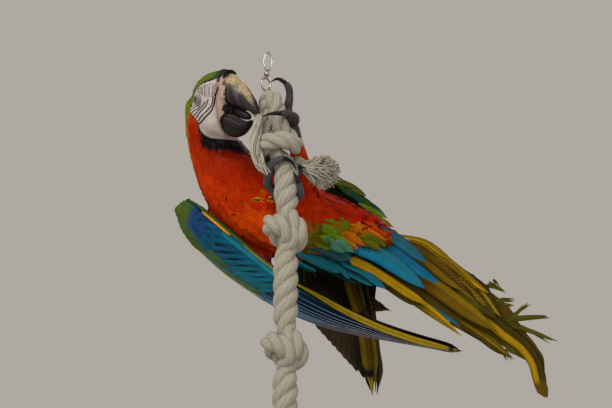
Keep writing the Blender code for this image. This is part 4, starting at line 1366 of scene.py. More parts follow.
def add_yarn(shape, line, radius, tone=COTTON_TONE, rows=10, sides=6, taper=0.5):
    """One loose, slightly lumpy yarn."""
    share = np.linspace(0, 1, rows)
    path = spline(line, share)
    radii = radius * (1 - taper * share**2) * (1 + 0.10 * np.sin(share * 17))
    shape.tube(
        path, radii, sides, tint=np.array(tone), vane=(float(rng.random()) * 9, float(rng.random()) * 9, 0)
    )


def make_rope():
    """The laid rope with its knots."""
    shape = Shape()
    path, radius = rope_path()
    add_rope(shape, path, radius)
    shape.build(
        "rope_cotton", COTTON,
        ["rope_end", "rope_lower", "rope_upper", "rope_knot_low", "rope_knot_mid", "rope_knot_top"],
    )


def make_tassel():
    """The frayed end that stands out from the top knot."""
    tassel = Shape()
    for _ in range(420):
        way = unit(rng.normal(0, 1, 3) * (0.75, 1, 1) + (1.05, 0.1, -0.05))
        reach = rng.uniform(17, 23) * (1 + 0.15 * way[0])
        end = TASSEL_MIDDLE + way * reach
        start = TASSEL_ROOT + rng.normal(0, 3.0, 3)
        bend = (start + end) / 2 + unit(end - start) * 2 + rng.normal(0, 2.2, 3)
        tone = np.array(COTTON_TONE) * rng.uniform(0.75, 1.15)
        add_yarn(
            tassel, [start, bend, end, end + rng.normal(0, 2.0, 3) + way * 1.5], rng.uniform(0.75, 1.15),
            tone, rows=8, sides=5
        )
    tassel.build("rope_fray", COTTON, ["rope_tassel"])


def make_bundle():
    """The loosened strand that hangs beside the top knot, with short broken yarns at its start."""
    bundle = Shape()
    share = np.linspace(0, 1, 15)
    core = spline(BITTEN, share)
    _, side, front = carried_frames(core)
    wide = spline(BITTEN_R, share)
    for _ in range(46):
        start_angle, from_core = rng.uniform(0, 6.28), math.sqrt(rng.uniform(0.05, 1.0)) * 0.82
        twist = rng.uniform(1.3, 2.1)
        angle = start_angle + twist * share * 2.2
        loose = 1 + 0.35 * np.clip(share - 0.75, 0, 1) * rng.uniform(-1, 1)
        outward = side * np.cos(angle)[:, None] + front * np.sin(angle)[:, None]
        line = core + outward * (wide * from_core * loose)[:, None]
        line = line + rng.normal(0, 0.35, line.shape)
        stop = int(rng.integers(10, 16))
        add_yarn(
            bundle, line[: stop], rng.uniform(1.2, 1.8), np.array(COTTON_TONE) * rng.uniform(0.8, 1.15),
            rows=30, sides=8
        )
    for _ in range(26):
        start = spline(BITTEN, rng.uniform(0, 0.16)) + rng.normal(0, 2.5, 3)
        end = start + unit(rng.normal(0, 1, 3) + (-0.5, -0.6, 0.9)) * rng.uniform(5, 11)
        add_yarn(
            bundle, [start, (start + end) / 2 + rng.normal(0, 1.5, 3), end], rng.uniform(0.35, 0.6), rows=7,
            sides=5
        )
    bundle.build("rope_bundle", COTTON, ["rope_strand"])


# ---------------------------------------------------------------- hook and stand
def closed_wire(shape, line, radius, sides=18):
    """A round wire bent into a closed loop."""
    line = np.asarray(line, float)
    along = unit(np.roll(line, -1, axis=0) - np.roll(line, 1, axis=0))
    out = line - line.mean(0)
    out = square_to(along, out)
    up = np.cross(along, out)
    rings = line[:, None] + radius * circle(out, up, round_angles(sides))
    rows = len(line)
    quads = grid_faces(rows + 1, sides, wrap=True) % (rows * sides)
    shape.add(rings.reshape(-1, 3), quads)


def lathe(shape, profile, at=(0, 0, 0), sides=96, **extra):
    """A turned piece from its profile of radius and height, listed from the bottom up."""
    profile = np.array(profile, float)
    angle = round_angles(sides)
    rings = np.stack([
        profile[:, 0, None] * np.cos(angle), profile[:, 0, None] * np.sin(angle),
        profile[:, 1, None] + 0 * angle,
    ], -1) + at
    add_loft(shape, rings, **extra)


def rounded(corners, radius=1.2, steps=5):
    """A profile with its inner corners rounded."""
    corners = np.array(corners, float)
    points = [corners[0]]
    for before, corner, after in zip(corners, corners[1:], corners[2:]):
        r = min(radius, 0.45 * norm(before - corner), 0.45 * norm(after - corner))
        a, b = corner + unit(before - corner) * r, corner + unit(after - corner) * r
        for k in range(steps + 1):
            u = k / steps
            points.append((1 - u) ** 2 * a + 2 * u * (1 - u) * corner + u * u * b)
    points.append(corners[-1])
    return points


def make_hook():
    """The ring, the link above it and the swivel between them."""
    for name, centre, wide, high, wire, turn in (
        ("ring", (-27, 0, 616), 7, 9, 1.9, 35), ("link", (-25, 0, 648.5), 5.5, 12.5, 1.6, 10),
    ):
        angle = round_angles(72)
        oval = np.stack([wide * np.cos(angle), 0 * angle, high * np.sin(angle)], -1)
        shape = Shape()
        closed_wire(shape, oval @ turn_about("Z", turn).T + centre, wire)
        shape.build(f"steel_{name}", ZINC, [f"hook_{name}"])
    shape = Shape()
    lathe(
        shape,
        rounded([(0.3, 627.3), (3.0, 627.5), (4.2, 629), (4.2, 631.5), (3.0, 633.1), (0.3, 633.5)], 0.7),
        (-26, 0, 0), 48
    )
    shape.build("steel_swivel", ZINC, ["hook_swivel"], sharp=60)


def make_stand():
    """A turned wooden plinth, a brushed rod and the cup that holds the rope's end."""
    shape = Shape()
    lathe(shape, rounded([
        (0.5, 0), (163.5, 0), (165, 1.6), (165, 15.2), (162.4, 18), (156, 18), (155.2, 17.3), (154.2, 17.3),
        (153.4, 18), (0.5, 18),
    ], 0.9), sides=160)
    shape.build("stand_plinth", WOOD, ["stand_base"], sharp=40)
    shape = Shape()
    lathe(
        shape,
        rounded([(0.3, 18.35), (7.6, 18.35), (8, 18.8), (8, 139.2), (7.6, 139.65), (0.3, 139.65)], 0.5),
        sides=64
    )
    shape.build("stand_post", BRUSHED, ["stand_rod"], sharp=40)
    shape = Shape()
    box_low, box_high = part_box("stand_socket")
    low, high = box_low.z / MM, box_high.z / MM
    lathe(shape, rounded([
        (0.3, low), (12, low), (20, low + 5), (20, high - 4.2), (20.0, high - 2.6), (19.2, high),
        (17.2, high), (16.8, high - 1.2), (16.8, low + 10.6), (0.3, low + 10.6),
    ], 0.8), sides=96)
    shape.build("stand_cup", BRUSHED, ["stand_socket"], sharp=40)


make_skin()
make_face_lines()
make_eyes()
make_upper_bill()
make_lower_bill()
make_tongue()
make_feet()
make_rope()
make_tassel()
make_bundle()
make_hook()
make_stand()


# ---------------------------------------------------------------- feathers placed one by one
def lance(s):
    return np.clip(0.3 + s / 0.16, 0, 1) * (1 - 0.93 * np.clip((s - 0.55) / 0.45, 0, 1) ** 1.5)


def blunt(s):
    return (1 - 0.36 * s) * np.sqrt(np.clip(1 - np.clip((s - 0.94) / 0.065, 0, 1) ** 2, 0.05, 1))


def at_depth(y, *places):
    """Points of one y from their x and z."""
    return [(x, y, z) for x, z in places]


def plume_colours(rows, cols, length, half, upper, lower, rim=0.8, shaft=0.6, bars=0.0, bands=()):
    """Colours of one vane: its two halves, dark rims, slanting bars, and bands (share, reach, tone)."""
    s, a = np.meshgrid(np.linspace(0, 1, rows), np.linspace(-1, 1, cols), indexing="ij")
    colour = mix(lower, upper, ramp(-0.15, 0.15, a))
    slant = s * length - np.abs(a) * half * 1.3
    colour = mix(colour, colour * 0.2, bars * ramp(0.2, 1.0, np.sin(slant * 1.0)))
    dark = np.maximum(rim * ramp(0.68, 1.0, np.abs(a)), shaft * np.exp(-((a / 0.14) ** 2)))
    colour = mix(colour, colour * 0.10, dark)
    for at, reach, tone in bands:
        colour = mix(colour, tone, ramp(reach, 0.6 * reach, np.abs(s - at)))
    return colour


def plumes(shape, feathers, facing=(0.05, -1, 0.1), rows=24, cols=9, outline=flight, **extra):
    """Feathers, each by its shaft's line, half its width, the tones above and below, and other looks."""
    facing = unit(np.array(facing, float))
    for line, half, upper, lower, *looks in feathers:
        spine = spline(line, np.linspace(0, 1, rows))[None]
        ahead = unit(np.gradient(spine, axis=1))
        up = unit(facing - ahead * (ahead @ facing)[..., None])
        length = length_of(spine[0])
        tint = plume_colours(rows, cols, length, half, upper, lower, **(looks[0] if looks else {}))[None]
        add_vanes(
            shape, spine, np.cross(up, ahead), up, np.array([half]), outline, cols=cols, tint=tint, **extra
        )


# ---------------------------------------------------------------- wings
class Wing:
    """A cambered sheet: t runs from the wrist to the tip, s from the lead edge to the trail edge."""

    def __init__(self, lead, trail, outward):
        self.lead, self.trail, self.outward = lead, trail, np.array(outward, float)

    def at(self, t, s, lift=0.0):
        near, far = spline(self.lead, t), spline(self.trail, t)
        s, lift = np.asarray(s, float), np.asarray(lift, float)
        bow = spline(WING_CAMBER, t) * 4 * s * (1 - s) + lift
        return near + (far - near) * s[..., None] + self.out(t) * bow[..., None]

    def out(self, t):
        t = np.asarray(t, float)
        along = unit(spline(self.lead, t + 0.02) - spline(self.lead, t - 0.02))
        out = unit(np.cross(along, spline(self.trail, t) - spline(self.lead, t)))
        return out * np.sign((out * self.outward).sum(-1, keepdims=True))

    def web(self, shape, last, tint, rows=60, cols=14):
        """The sheet of flesh and feather bases that the feathers stand on. It narrows towards the tip."""
        t, share = np.meshgrid(np.linspace(0.02, last, rows), np.linspace(0, 1, cols), indexing="ij")
        inset = 0.10 + 0.30 * ramp(0.5, last, t)
        s = inset + (1 - 2 * inset) * share
        half = spline(WING_THICKNESS, t) * np.sqrt(np.clip(1 - (2 * share - 1) ** 2, 0.02, 1)) / 2
        rings = np.concatenate([self.at(t, s, half), self.at(t, s, -half)[:, ::-1]], axis=1)
        corner = np.stack([rings[1, 3] - rings[0, 3], rings[0, 4] - rings[0, 3], self.out(t[0, 0])])
        add_loft(shape, rings, flip=bool(np.linalg.det(corner) > 0), tint=tint)

    def feathers(self, shape, t, s, face, half, outline, cols=7, lift=(1.0, 2.5), layer=0.0, **extra):
        """Vanes with shafts along t and s, feathers by rows, on the outer (1) or inner (-1) face."""
        share = np.linspace(0, 1, t.shape[1])
        height = lift[0] + (lift[1] - lift[0]) * share + np.zeros(t.shape) + np.reshape(layer, (-1, 1))
        spine = self.at(t, s, face * height)
        ahead = unit(np.gradient(spine, axis=1))
        up = square_to(ahead, self.out(t) * face)
        half = np.broadcast_to(half, (len(t),))
        add_vanes(shape, spine, np.cross(up, ahead), up, half, outline, cols=cols, **extra)


def lanes(controls, rows):
    """Rows of t or s for many feathers from their few control values."""
    share = np.linspace(0, 1, rows)
    return np.stack([spline(c, share) for c in np.asarray(controls, float)])


def run(start, *steps):
    """Control values for many feathers: each one's start, and the start plus each step."""
    start = np.asarray(start, float)
    return np.stack([start + step for step in (0.0, *steps)], axis=1)


def vane_grid(n, rows, cols):
    """The number, share along and place across of every point of n vanes."""
    return np.meshgrid(np.arange(n), np.linspace(0, 1, rows), np.linspace(-1, 1, cols), indexing="ij")


SHEEN_TEAL, SHADE_TEAL = (0.010, 0.165, 0.230), (0.006, 0.085, 0.150)
# the pale teal rim of the secondaries, partly their margin and partly painted highlight
MARGIN_AND_HIGHLIGHT_TEAL = (0.085, 0.170, 0.175)
WRIST_GREENS = (0.085, 0.110, 0.014), (0.052, 0.115, 0.030)
PALE_EDGE, LIME_EDGE = (0.36, 0.42, 0.28), (0.26, 0.32, 0.03)
WING_BAND = (0.30, 0.205, 0.008)


def add_secondaries(shape, wing, face):
    """Long teal feathers that fan from the trail edge to the lead edge, the upper ones on top."""
    count, rows, cols = 13, 22, 11
    start = np.linspace(0.05, 0.50, count)
    late = np.linspace(0, 1, count)
    t = lanes(run(start, *[(1 - 0.45 * late) * x for x in (0.03, 0.07, 0.115, 0.19)]), rows)
    s = lanes([[0.85 + 0.10 * x, 0.66, 0.38, 0.12 + 0.05 * x, 0.04 * x] for x in late], rows)
    number, along, across = vane_grid(count, rows, cols)
    upper = across * face
    near_rope = ramp(3, 8, number)
    tint = mix(mix(SHADE_TEAL, DEEP_BLUE, 0.35 * (1 - near_rope)), SHEEN_TEAL, 0.25 + 0.75 * near_rope)
    tint = mix(tint, BLUE, 0.25 + 0.25 * np.sin(number * 2.3 + 4 * along))
    # the lower rim is pale: partly the feather's margin, partly painted highlight
    tint = mix(tint, MARGIN_AND_HIGHLIGHT_TEAL, ramp(-0.35, -0.95, upper) * 0.55)
    # painted shadow: a dark gap along the edge that lies under the next feather, and a thin dark line along
    # the lower edge
    tint = mix(tint, SOOT, ramp(0.30, 0.75, upper) * ramp(0.80, 0.55, along) * 0.97)
    tint = mix(tint, SOOT, ramp(-0.85, -1.0, upper) * ramp(0.95, 0.75, along) * 0.85)
    # the underside's golden tones get the same painted shadow along the upper edge
    if face < 0:
        tint = mix(mix(BROWN, GOLD, ramp(0.1, -0.5, upper) * 0.8), SOOT, ramp(0.5, 0.9, upper) * 0.8)
    wing.feathers(
        shape, t, s, face, 6.4, flight, cols=cols, lift=(0.8, 1.8), layer=np.linspace(3.0, 0.8, count),
        tint=tint, bulge=0.16, thick=0.45, quill=0.2, fray=0.05, tip=0.9, rim=0.02,
    )


def add_primaries(shape, wing, face):
    """The closed pack of long flight feathers that runs out to the wing's tip."""
    count, rows, cols = 8, 30, 13
    up = np.linspace(0, 1, count)
    start, end = 0.45 + 0.04 * up, 0.80 + 0.20 * up**0.8
    t = lanes([[a + (b - a) * x for x in (0, 0.33, 0.67, 1)] for a, b in zip(start, end)], rows)
    s = lanes([[0.92 - 0.84 * u, 0.91 - 0.85 * u, 0.88 - 0.83 * u, 0.80 - 0.76 * u] for u in up], rows)
    number, along, across = vane_grid(count, rows, cols)
    upper = across * face
    far = ramp(0.25, 0.70, along)
    tint = mix(mix(BLUE, DEEP_BLUE, 0.45), (0.030, 0.028, 0.050), far)
    # the part under the next feather is sooty, and the dark gaps it leaves are painted shadow; the pale lower
    # rim is partly margin, partly painted highlight
    tint = mix(tint, SOOT, ramp(-0.50, -0.25, upper) * (0.85 + 0.15 * np.sin(number * 2.7)))
    tint = mix(
        tint, mix((0.17, 0.30, 0.46), (0.26, 0.24, 0.28), far),
        ramp(-0.66, -0.82, upper) * (0.95 - 0.3 * far)
    )
    if face < 0:
        tint = mix(mix(BROWN, GOLD, ramp(0.1, -0.5, upper) * 0.9), SOOT, ramp(0.5, 0.9, along))
    wing.feathers(
        shape, t, s, face, 6.4 - 1.6 * up, flight, cols=cols, lift=(2.0, 0.8),
        layer=np.linspace(0.2, 3.8, count),
        tint=tint, bulge=0.03, thick=0.4, quill=0.15, fray=0.04, tip=0.9,
    )
    # the thin pale lines along the feathers are partly margin, partly painted highlight
    if face > 0:
        pale = mix((0.20, 0.36, 0.58), (0.34, 0.32, 0.34), vane_grid(count, rows, 5)[1])
        wing.feathers(
            shape, t, s + 0.05, face, 0.55, sliver, cols=5, lift=(3.2, 1.9),
            layer=np.linspace(0.2, 3.8, count), tint=pale, thick=0.3, fray=0.0,
        )


def add_wing_coverts(shape, wing, face):
    """Rows of coverts that step in from the trail edge, green at the edge and blue further in."""
    rows, cols = 9, 7
    for s_at, reach, half, n, first, last, green in (
        (0.56, 0.26, 4.2, 12, 0.02, 0.17, 0.3), (0.70, 0.24, 4.2, 16, 0.02, 0.26, 1.1),
        (0.82, 0.20, 3.6, 30, 0.01, 0.42, 1.4),
    ):
        start = np.linspace(first, last, n) + rng.normal(0, 0.002, n)
        t = lanes(run(start, 0.025, 0.055), rows)
        s = lanes([[s_at, s_at - 0.5 * reach, s_at - reach]] * n, rows)
        number, along, across = vane_grid(n, rows, cols)
        upper = across * face
        own = rng.random(n)[number]
        leafy = mix((0.055, 0.120, 0.024), (0.130, 0.205, 0.060), own)
        tint = mix(
            mix(SHADE_TEAL, DEEP_BLUE, 0.6 * own), leafy,
            np.clip(green * (1.25 - 0.6 * along - 0.5 * own), 0, 1)
        )
        # painted shadow along the edge that lies under the neighbouring covert
        tint = mix(tint, SOOT, ramp(0.45, 0.95, upper) * 0.6)
        if face < 0:
            tint = mix(OLIVE, GREEN, own * 0.6)
        wing.feathers(
            shape, t, s, face, half, lobe, cols=cols, lift=(1.4, 1.8), layer=3.9 - s_at - 4 * start,
            tint=tint, bulge=0.14, thick=0.35, fray=0.12, tip=0.9,
        )


def add_wrist(shape, wing, face, tones, reach=0.20):
    """Small smooth feathers over the wrist, in the tones of their place."""
    n = 620
    t0, s0 = np.sort(rng.uniform(0.0, reach, n))[::-1], rng.uniform(0.02, 0.93, n)
    t = lanes(run(t0, 0.012, 0.026), 5)
    s = lanes(run(s0, -0.02, -0.04), 5)
    height = 5.4 - 7 * t0
    wing.feathers(
        shape, t, s, face, 2.6, contour, cols=5, lift=(0.0, 0.7), layer=height, tint=tones(t0, s0, n),
        bulge=0.12, thick=0.25, fray=0.12,
    )


def right_wrist_tones(t, s, n):
    tint = mix(
        WRIST_GREENS[0], WRIST_GREENS[1],
        np.clip(0.5 + 0.6 * np.sin(9 * s + 20 * t) + rng.normal(0, 0.15, n), 0, 1)
    )
    blue = ramp(0.055, 0.10, t + 0.05 * (0.5 - s)) * ramp(0.66, 0.46, s)
    tint = mix(tint, mix(DEEP_BLUE, (0.016, 0.066, 0.147), 0.6), blue)
    tint = mix(tint, SHADE_TEAL, ramp(0.13, 0.19, t) * ramp(0.75, 0.6, s))
    return tint * rng.uniform(0.92, 1.08, (n, 1))


def left_wrist_tones(t, s, n):
    return mix(DARK_GREEN, GREEN, rng.uniform(0.1, 0.9, n))


def add_margin(shape, wing, face):
    """The thin light row along the trail edge, pale at the wrist and lime green further on."""
    n = 150
    t0 = np.linspace(0.0, 0.47, n)
    t = lanes(run(t0, 0.010, 0.022), 5)
    s = lanes([[0.955, 0.948, 0.940]] * n, 5)
    tint = mix(PALE_EDGE, LIME_EDGE, ramp(0.26, 0.34, t0 + rng.normal(0, 0.02, n)))
    tint = mix(WRIST_GREENS[0], tint, ramp(0.02, 0.08, t0))
    wing.feathers(shape, t, s, face, 2.1, contour, cols=5, lift=(3.2, 4.0), tint=tint, bulge=0.2, thick=0.35)


def add_lead_lines(shape):
    """The bright strip beside the breast, the dark green edge over it, and the golden first primary."""
    strip = at_depth(68, (-116, 458), (-96, 441), (-76, 424))
    plumes(shape, [
        (strip, 1.5, (0.75, 0.34, 0.006), (0.60, 0.20, 0.004), {"rim": 0.2, "shaft": 0.0}),
        (at_depth(70, (-122, 468), (-98, 448), (-70, 424), (-44, 402)), 2.4, DARK_GREEN, WRIST_GREENS[0],
         {"shaft": 0.0}),
        (at_depth(70, (-60, 413), (-40, 396), (-18, 379), (2, 364)), 1.6, OLIVE, (0.25, 0.25, 0.01),
         {"shaft": 0.0}),
        (at_depth(71, (-88, 431), (-56, 406), (-24, 380), (4, 358)), 5.5, SHADE_TEAL, SHEEN_TEAL,
         {"rim": 0.0, "shaft": 0.0}),
    ], thick=0.6, fray=0.02)
    band = at_depth(70, (6, 362), (40, 343), (80, 320), (125, 299), (170, 283), (208, 273), (231, 268))
    tip = ((0.985, 0.03, SOOT), (0.95, 0.012, GOLD), (0.90, 0.035, (0.03, 0.02, 0.01)))
    slim = lambda s: (0.35 + 0.65 * ramp(0.0, 0.35, s)) * (1 - 0.75 * ramp(0.7, 1.0, s))
    plumes(shape, [
        (band, 4.6, WING_BAND, WING_BAND, {"rim": 0.95, "shaft": 0.75, "bands": tip}),
    ], rows=60, outline=slim, thick=0.8, fray=0.02)


def make_right_wing():
    """The near wing: blue and teal, closed along the body."""
    wing = Wing(WING_RIGHT_LEAD, WING_RIGHT_TRAIL, (-0.4, -0.7, -0.6))
    base = Shape()
    wing.web(base, 0.93, mix(SHADE_TEAL, BLUE, 0.3))
    base.build("wing_right_web", SKIN, ["wing_right_coverts", "wing_right_flight"])
    for face, name in ((1, "outer"), (-1, "inner")):
        shape = Shape()
        add_primaries(shape, wing, face)
        add_secondaries(shape, wing, face)
        if face > 0:
            add_lead_lines(shape)
        shape.build(f"wing_right_flight_{name}", QUILLED)
        small = Shape()
        add_wing_coverts(small, wing, face)
        add_wrist(small, wing, face, right_wrist_tones)
        add_margin(small, wing, face)
        small.build(f"wing_right_small_{name}", FEATHER)


def add_left_flight(shape, wing, face):
    """Long feathers whose tips step along the trail edge, the longest at the lead edge."""
    count, rows, cols = 15, 24, 11
    in_from = np.linspace(0, 1, count)
    start, end = 0.30 - 0.06 * in_from, 0.995 - 0.44 * in_from**0.9
    last = 0.55 + 0.40 * ramp(0.0, 0.25, in_from)
    s = lanes([[0.04 + 0.88 * k, 0.05 + 0.88 * k, 0.08 + 0.87 * k, b] for k, b in zip(in_from, last)], rows)
    t = lanes([[a, a + 0.33 * (b - a), a + 0.67 * (b - a), b] for a, b in zip(start, end)], rows)
    number, along, across = vane_grid(count, rows, cols)
    if face > 0:
        tint = mix(mix(BLUE, TEAL, 0.3), DEEP_BLUE, ramp(0.4, 0.9, along) * 0.5)
        tint = mix(tint, SOOT, ramp(0.5, 0.9, -across) * 0.9)
    else:
        # the underside is near black: painted shade over its golden tone
        tint = mix(
            (0.010, 0.010, 0.005), (0.050, 0.036, 0.017), ramp(0.55, 0.95, along) * ramp(1.5, 5, number)
        )
        tint = mix(tint, tint * 1.8, ramp(0.0, -0.6, across) * 0.5)
        tint = mix(tint, SOOT, ramp(0.6, 0.95, np.abs(across)) * 0.8)
    wing.feathers(
        shape, t, s, face, 8.5 + 1.2 * in_from, flight, cols=cols, lift=(1.4, 0.9),
        layer=np.linspace(0.2, 3.6, count),
        tint=tint, bulge=0.16, thick=0.45, quill=0.3, fray=0.05, tip=0.9, skew=-0.2, rim=0.012,
    )


def add_left_coverts(shape, wing, face):
    """Three rows of coverts from the wrist outwards."""
    rows, cols = 8, 7
    for row, (start, length, half, n) in enumerate(
        ((0.16, 0.30, 7.5, 16), (0.08, 0.22, 6.2, 18), (0.02, 0.16, 5.2, 20))
    ):
        s0 = np.linspace(0.03, 0.94, n)
        t = lanes(run(start + 0.02 * np.sin(9 * s0), 0.5 * length, length), rows)
        s = lanes(run(s0, 0.0, 0.0), rows)
        number, _, across = vane_grid(n, rows, cols)
        if face > 0:
            tint = mix(mix(BLUE, TEAL, 0.5), GREEN, 0.45 * row + 0.1 * np.sin(number * 3.1))
        else:
            # the underside is darkened with soot: painted shade
            tint = mix(mix(DARK_GREEN, OLIVE, 0.35 + 0.3 * np.sin(number * 2.3)), SOOT, 0.55)
        tint = mix(tint, SOOT, ramp(0.65, 0.95, np.abs(across)) * 0.5)
        wing.feathers(
            shape, t, s, face, half, lobe, cols=cols, lift=(1.2, 1.8), layer=4.0 + 0.8 * row, tint=tint,
            bulge=0.18, thick=0.4, fray=0.1, tip=0.9,
        )


def add_left_stripes(shape):
    """The golden stripes, the jagged right edge and the torn brown feather of the far wing's underside."""
    gold, deep, torn = (0.150, 0.095, 0.003), (0.075, 0.048, 0.003), (0.052, 0.029, 0.017)
    soft = {"rim": 0.96, "shaft": 0.0}
    tip = {"rim": 0.9, "shaft": 0.5, "bands": ((0.875, 0.03, SOOT), (0.97, 0.07, (0.26, 0.17, 0.006)))}
    wide = [
        (86, 164, 399), (91, 163, 370), (101, 160, 337), (108, 155, 302), (112, 148, 265), (117, 143, 217)
    ]
    narrow = [
        (99, 163, 393), (106, 162, 360), (113, 159, 327), (119, 153, 294), (122, 146, 258), (121, 142, 222)
    ]
    edge = [
        (106, 162, 391), (114, 160, 354), (121, 157, 319), (124, 152, 282), (127, 145, 251), (123, 141, 218)
    ]
    plumes(
        shape,
        [(wide, 9.5, deep, gold, tip), (narrow, 4.2, gold, deep, soft), (edge, 5.0, BROWN, SOOT, soft)],
        rows=48,
        outline=lambda s: np.clip(0.5 + s / 0.2, 0, 1) * (1 - 0.85 * ramp(0.8, 1.0, s)), thick=0.5, fray=0.03,
    )
    plumes(shape, [
        (at_depth(163, (112, 349), (130, 343), (148, 337)), 13.0, torn, torn, {"rim": 0.4}),
        # the two near black feathers are painted shade
        (at_depth(158, (104, 336), (120, 324), (137, 312)), 9.0, (0.03, 0.025, 0.012), SOOT, soft),
        (at_depth(162, (98, 390), (112, 375), (121, 360)), 8.0, SOOT, SOOT, soft),
    ], outline=lambda s: 1 - 0.97 * s, thick=0.5, fray=0.2, rim=0.06)


def make_left_wing():
    """The far wing, seen from its golden underside, painted near black as shade but for its golden stripes.
    """
    wing = Wing(WING_LEFT_LEAD, WING_LEFT_TRAIL, (0.2, 1, 0))
    base = Shape()
    # the web is near black: painted shade
    wing.web(base, 0.90, (0.010, 0.010, 0.006))
    base.build("wing_left_web", SKIN, ["wing_left_coverts", "wing_left_flight"])
    for face, name in ((1, "outer"), (-1, "inner")):
        shape = Shape()
        add_left_flight(shape, wing, face)
        add_left_coverts(shape, wing, face)
        if face < 0:
            add_left_stripes(shape)
        shape.build(f"wing_left_flight_{name}", QUILLED)
        small = Shape()
        add_wrist(small, wing, face, left_wrist_tones, 0.30)
        small.build(f"wing_left_small_{name}", FEATHER)


# ---------------------------------------------------------------- tail
TAIL_GOLD, TAIL_BROWN, TAIL_SUN = (0.200, 0.120, 0.003), (0.115, 0.062, 0.003), (0.40, 0.235, 0.003)
TAIL_SHADE, TAIL_OLIVE = (0.055, 0.038, 0.004), (0.085, 0.080, 0.006)


def tail_place(share, lane, lift):
    """A point on the tail from its share along, its lane across and its height over the middle plane."""
    share, lane = np.asarray(share, float), np.asarray(lane, float)
    middles = [p for p, _ in TAIL]
    along = unit(spline(middles, share + 0.02) - spline(middles, share - 0.02))
    front = unit(TAIL_FACING - along * (along @ TAIL_FACING)[..., None])
    width = spline([w for _, w in TAIL], share)
    point = spline(middles, share) + np.cross(along, front) * (lane * width)[..., None]
    return point + front * (np.asarray(lift, float) + 0 * lane)[..., None], front


def add_tail_back(shape):
    """Nine quills seen from above, blue with a red middle, the longest in the centre."""
    quills = [  # root lane, end lane, end share, half width
        (-0.70, -0.80, 0.56, 9), (-0.54, -0.68, 0.66, 9.5), (-0.38, -0.54, 0.75, 10),
        (-0.20, -0.30, 0.84, 10.5),
        (-0.03, 0.02, 0.99, 7.5), (0.12, -0.1, 0.90, 8), (0.24, 0.08, 0.78, 8), (0.38, 0.26, 0.62, 7.5),
        (0.52, 0.46, 0.48, 7.5),
    ]
    rows, cols, count = 34, 11, len(quills)
    share = np.array([np.linspace(0.04, end, rows) for _, _, end, _ in quills])
    lane = np.array([np.linspace(a, b, rows) for a, b, _, _ in quills])
    number, along, across = vane_grid(count, rows, cols)
    tint = mix(BLUE, TEAL, np.full(along.shape, 0.3))
    tint = mix(tint, (0.32, 0.03, 0.01), np.exp(-(((number - 4) / 1.6) ** 2)) * ramp(0.8, 0.3, along))
    tint = mix(
        tint, SOOT, np.maximum(np.exp(-((across / 0.12) ** 2)) * 0.7, ramp(0.6, 0.95, np.abs(across)) * 0.6)
    )
    height = 4.2 - 3.4 * np.abs(np.linspace(-1, 1, count)) ** 0.8
    half = np.array([w for *_, w in quills])
    for face, tone in ((-1, tint), (1, mix(TAIL_SHADE, TAIL_BROWN, np.full(along.shape, 0.3)))):
        lift = -height[:, None] * np.linspace(1, 0.35, rows)[None] + face * 1.2 - 2.0
        spine, front = tail_place(share, lane, lift)
        ahead = unit(np.gradient(spine, axis=1))
        up = square_to(ahead, face * front)
        add_vanes(
            shape, spine, np.cross(up, ahead), up, half + 0.4 * face, flight, cols=cols, thick=0.5,
            quill=0.5, bulge=0.10, fray=0.06, tip=1.2, rim=0.03, tint=tone,
        )


def add_tail_under(shape):
    """The worn golden feathers of the underside, from the upper edge to the lower one."""
    barred = {"bars": 0.8, "shaft": 0.85, "rim": 0.95}
    plain = {"rim": 0.9, "shaft": 0.5}
    dark_tip = {"bars": 0.9, "shaft": 0.9, "rim": 0.9, "bands": ((1.0, 0.22, TAIL_SHADE),)}
    plumes(shape, [
        (at_depth(134, (150, 442), (187, 433), (208, 420), (226, 403), (244, 388), (262, 372), (280, 358)),
         5.5, TAIL_GOLD, TAIL_SUN, plain),
        (at_depth(132, (150, 436), (184, 426), (206, 411), (226, 395), (246, 378), (264, 362)), 6.0,
         TAIL_GOLD, TAIL_BROWN, barred),
        (at_depth(129, (150, 432), (178, 417), (204, 398), (228, 377), (247, 359)), 12.5, TAIL_BROWN,
         TAIL_GOLD, barred),
        (at_depth(131, (205, 408), (232, 380), (258, 351), (289, 321)), 11.0, TAIL_GOLD, TAIL_OLIVE,
         dark_tip),
        (at_depth(130, (216, 392), (240, 368), (262, 346)), 6.0, TAIL_SHADE, TAIL_GOLD, barred)
    ], rows=72, cols=13, outline=lobe, thick=0.6, bulge=0.16, fray=0.05, tip=0.8)
    plumes(shape, [
        (at_depth(128, (164, 392), (196, 372), (232, 346), (266, 320), (292, 300)), 13.0, TAIL_GOLD,
         mix(TAIL_GOLD, TAIL_BROWN, 0.6), {"rim": 0.95, "shaft": 0.35}),
        (at_depth(139, (222, 326), (252, 309), (282, 291), (304, 274)), 8.0, TAIL_OLIVE, TAIL_BROWN, plain),
        (at_depth(137, (238, 318), (264, 300), (290, 280), (308, 268)), 6.0, TAIL_GOLD, TAIL_SHADE, plain),
        (at_depth(130, (140, 372), (172, 351), (206, 326), (241, 296)), 7.5, TAIL_SUN, TAIL_GOLD, plain)
    ], rows=48, cols=11, outline=lance, thick=0.6, bulge=0.16, fray=0.04, tip=0.6)
    last = [
        (276, 139, 328), (300, 141, 307), (326, 144, 287), (342, 147, 265), (348, 150, 242),
        (352, 152, 227), (357, 153, 215)
    ]
    plumes(shape, [
        (last, 12.5, TAIL_SHADE, TAIL_SUN, {"rim": 0.85, "shaft": 0.9, "bands": ((1.0, 0.35, TAIL_BROWN),)})
    ], rows=56, cols=13, outline=blunt, thick=0.8, bulge=0.2, fray=0.05)


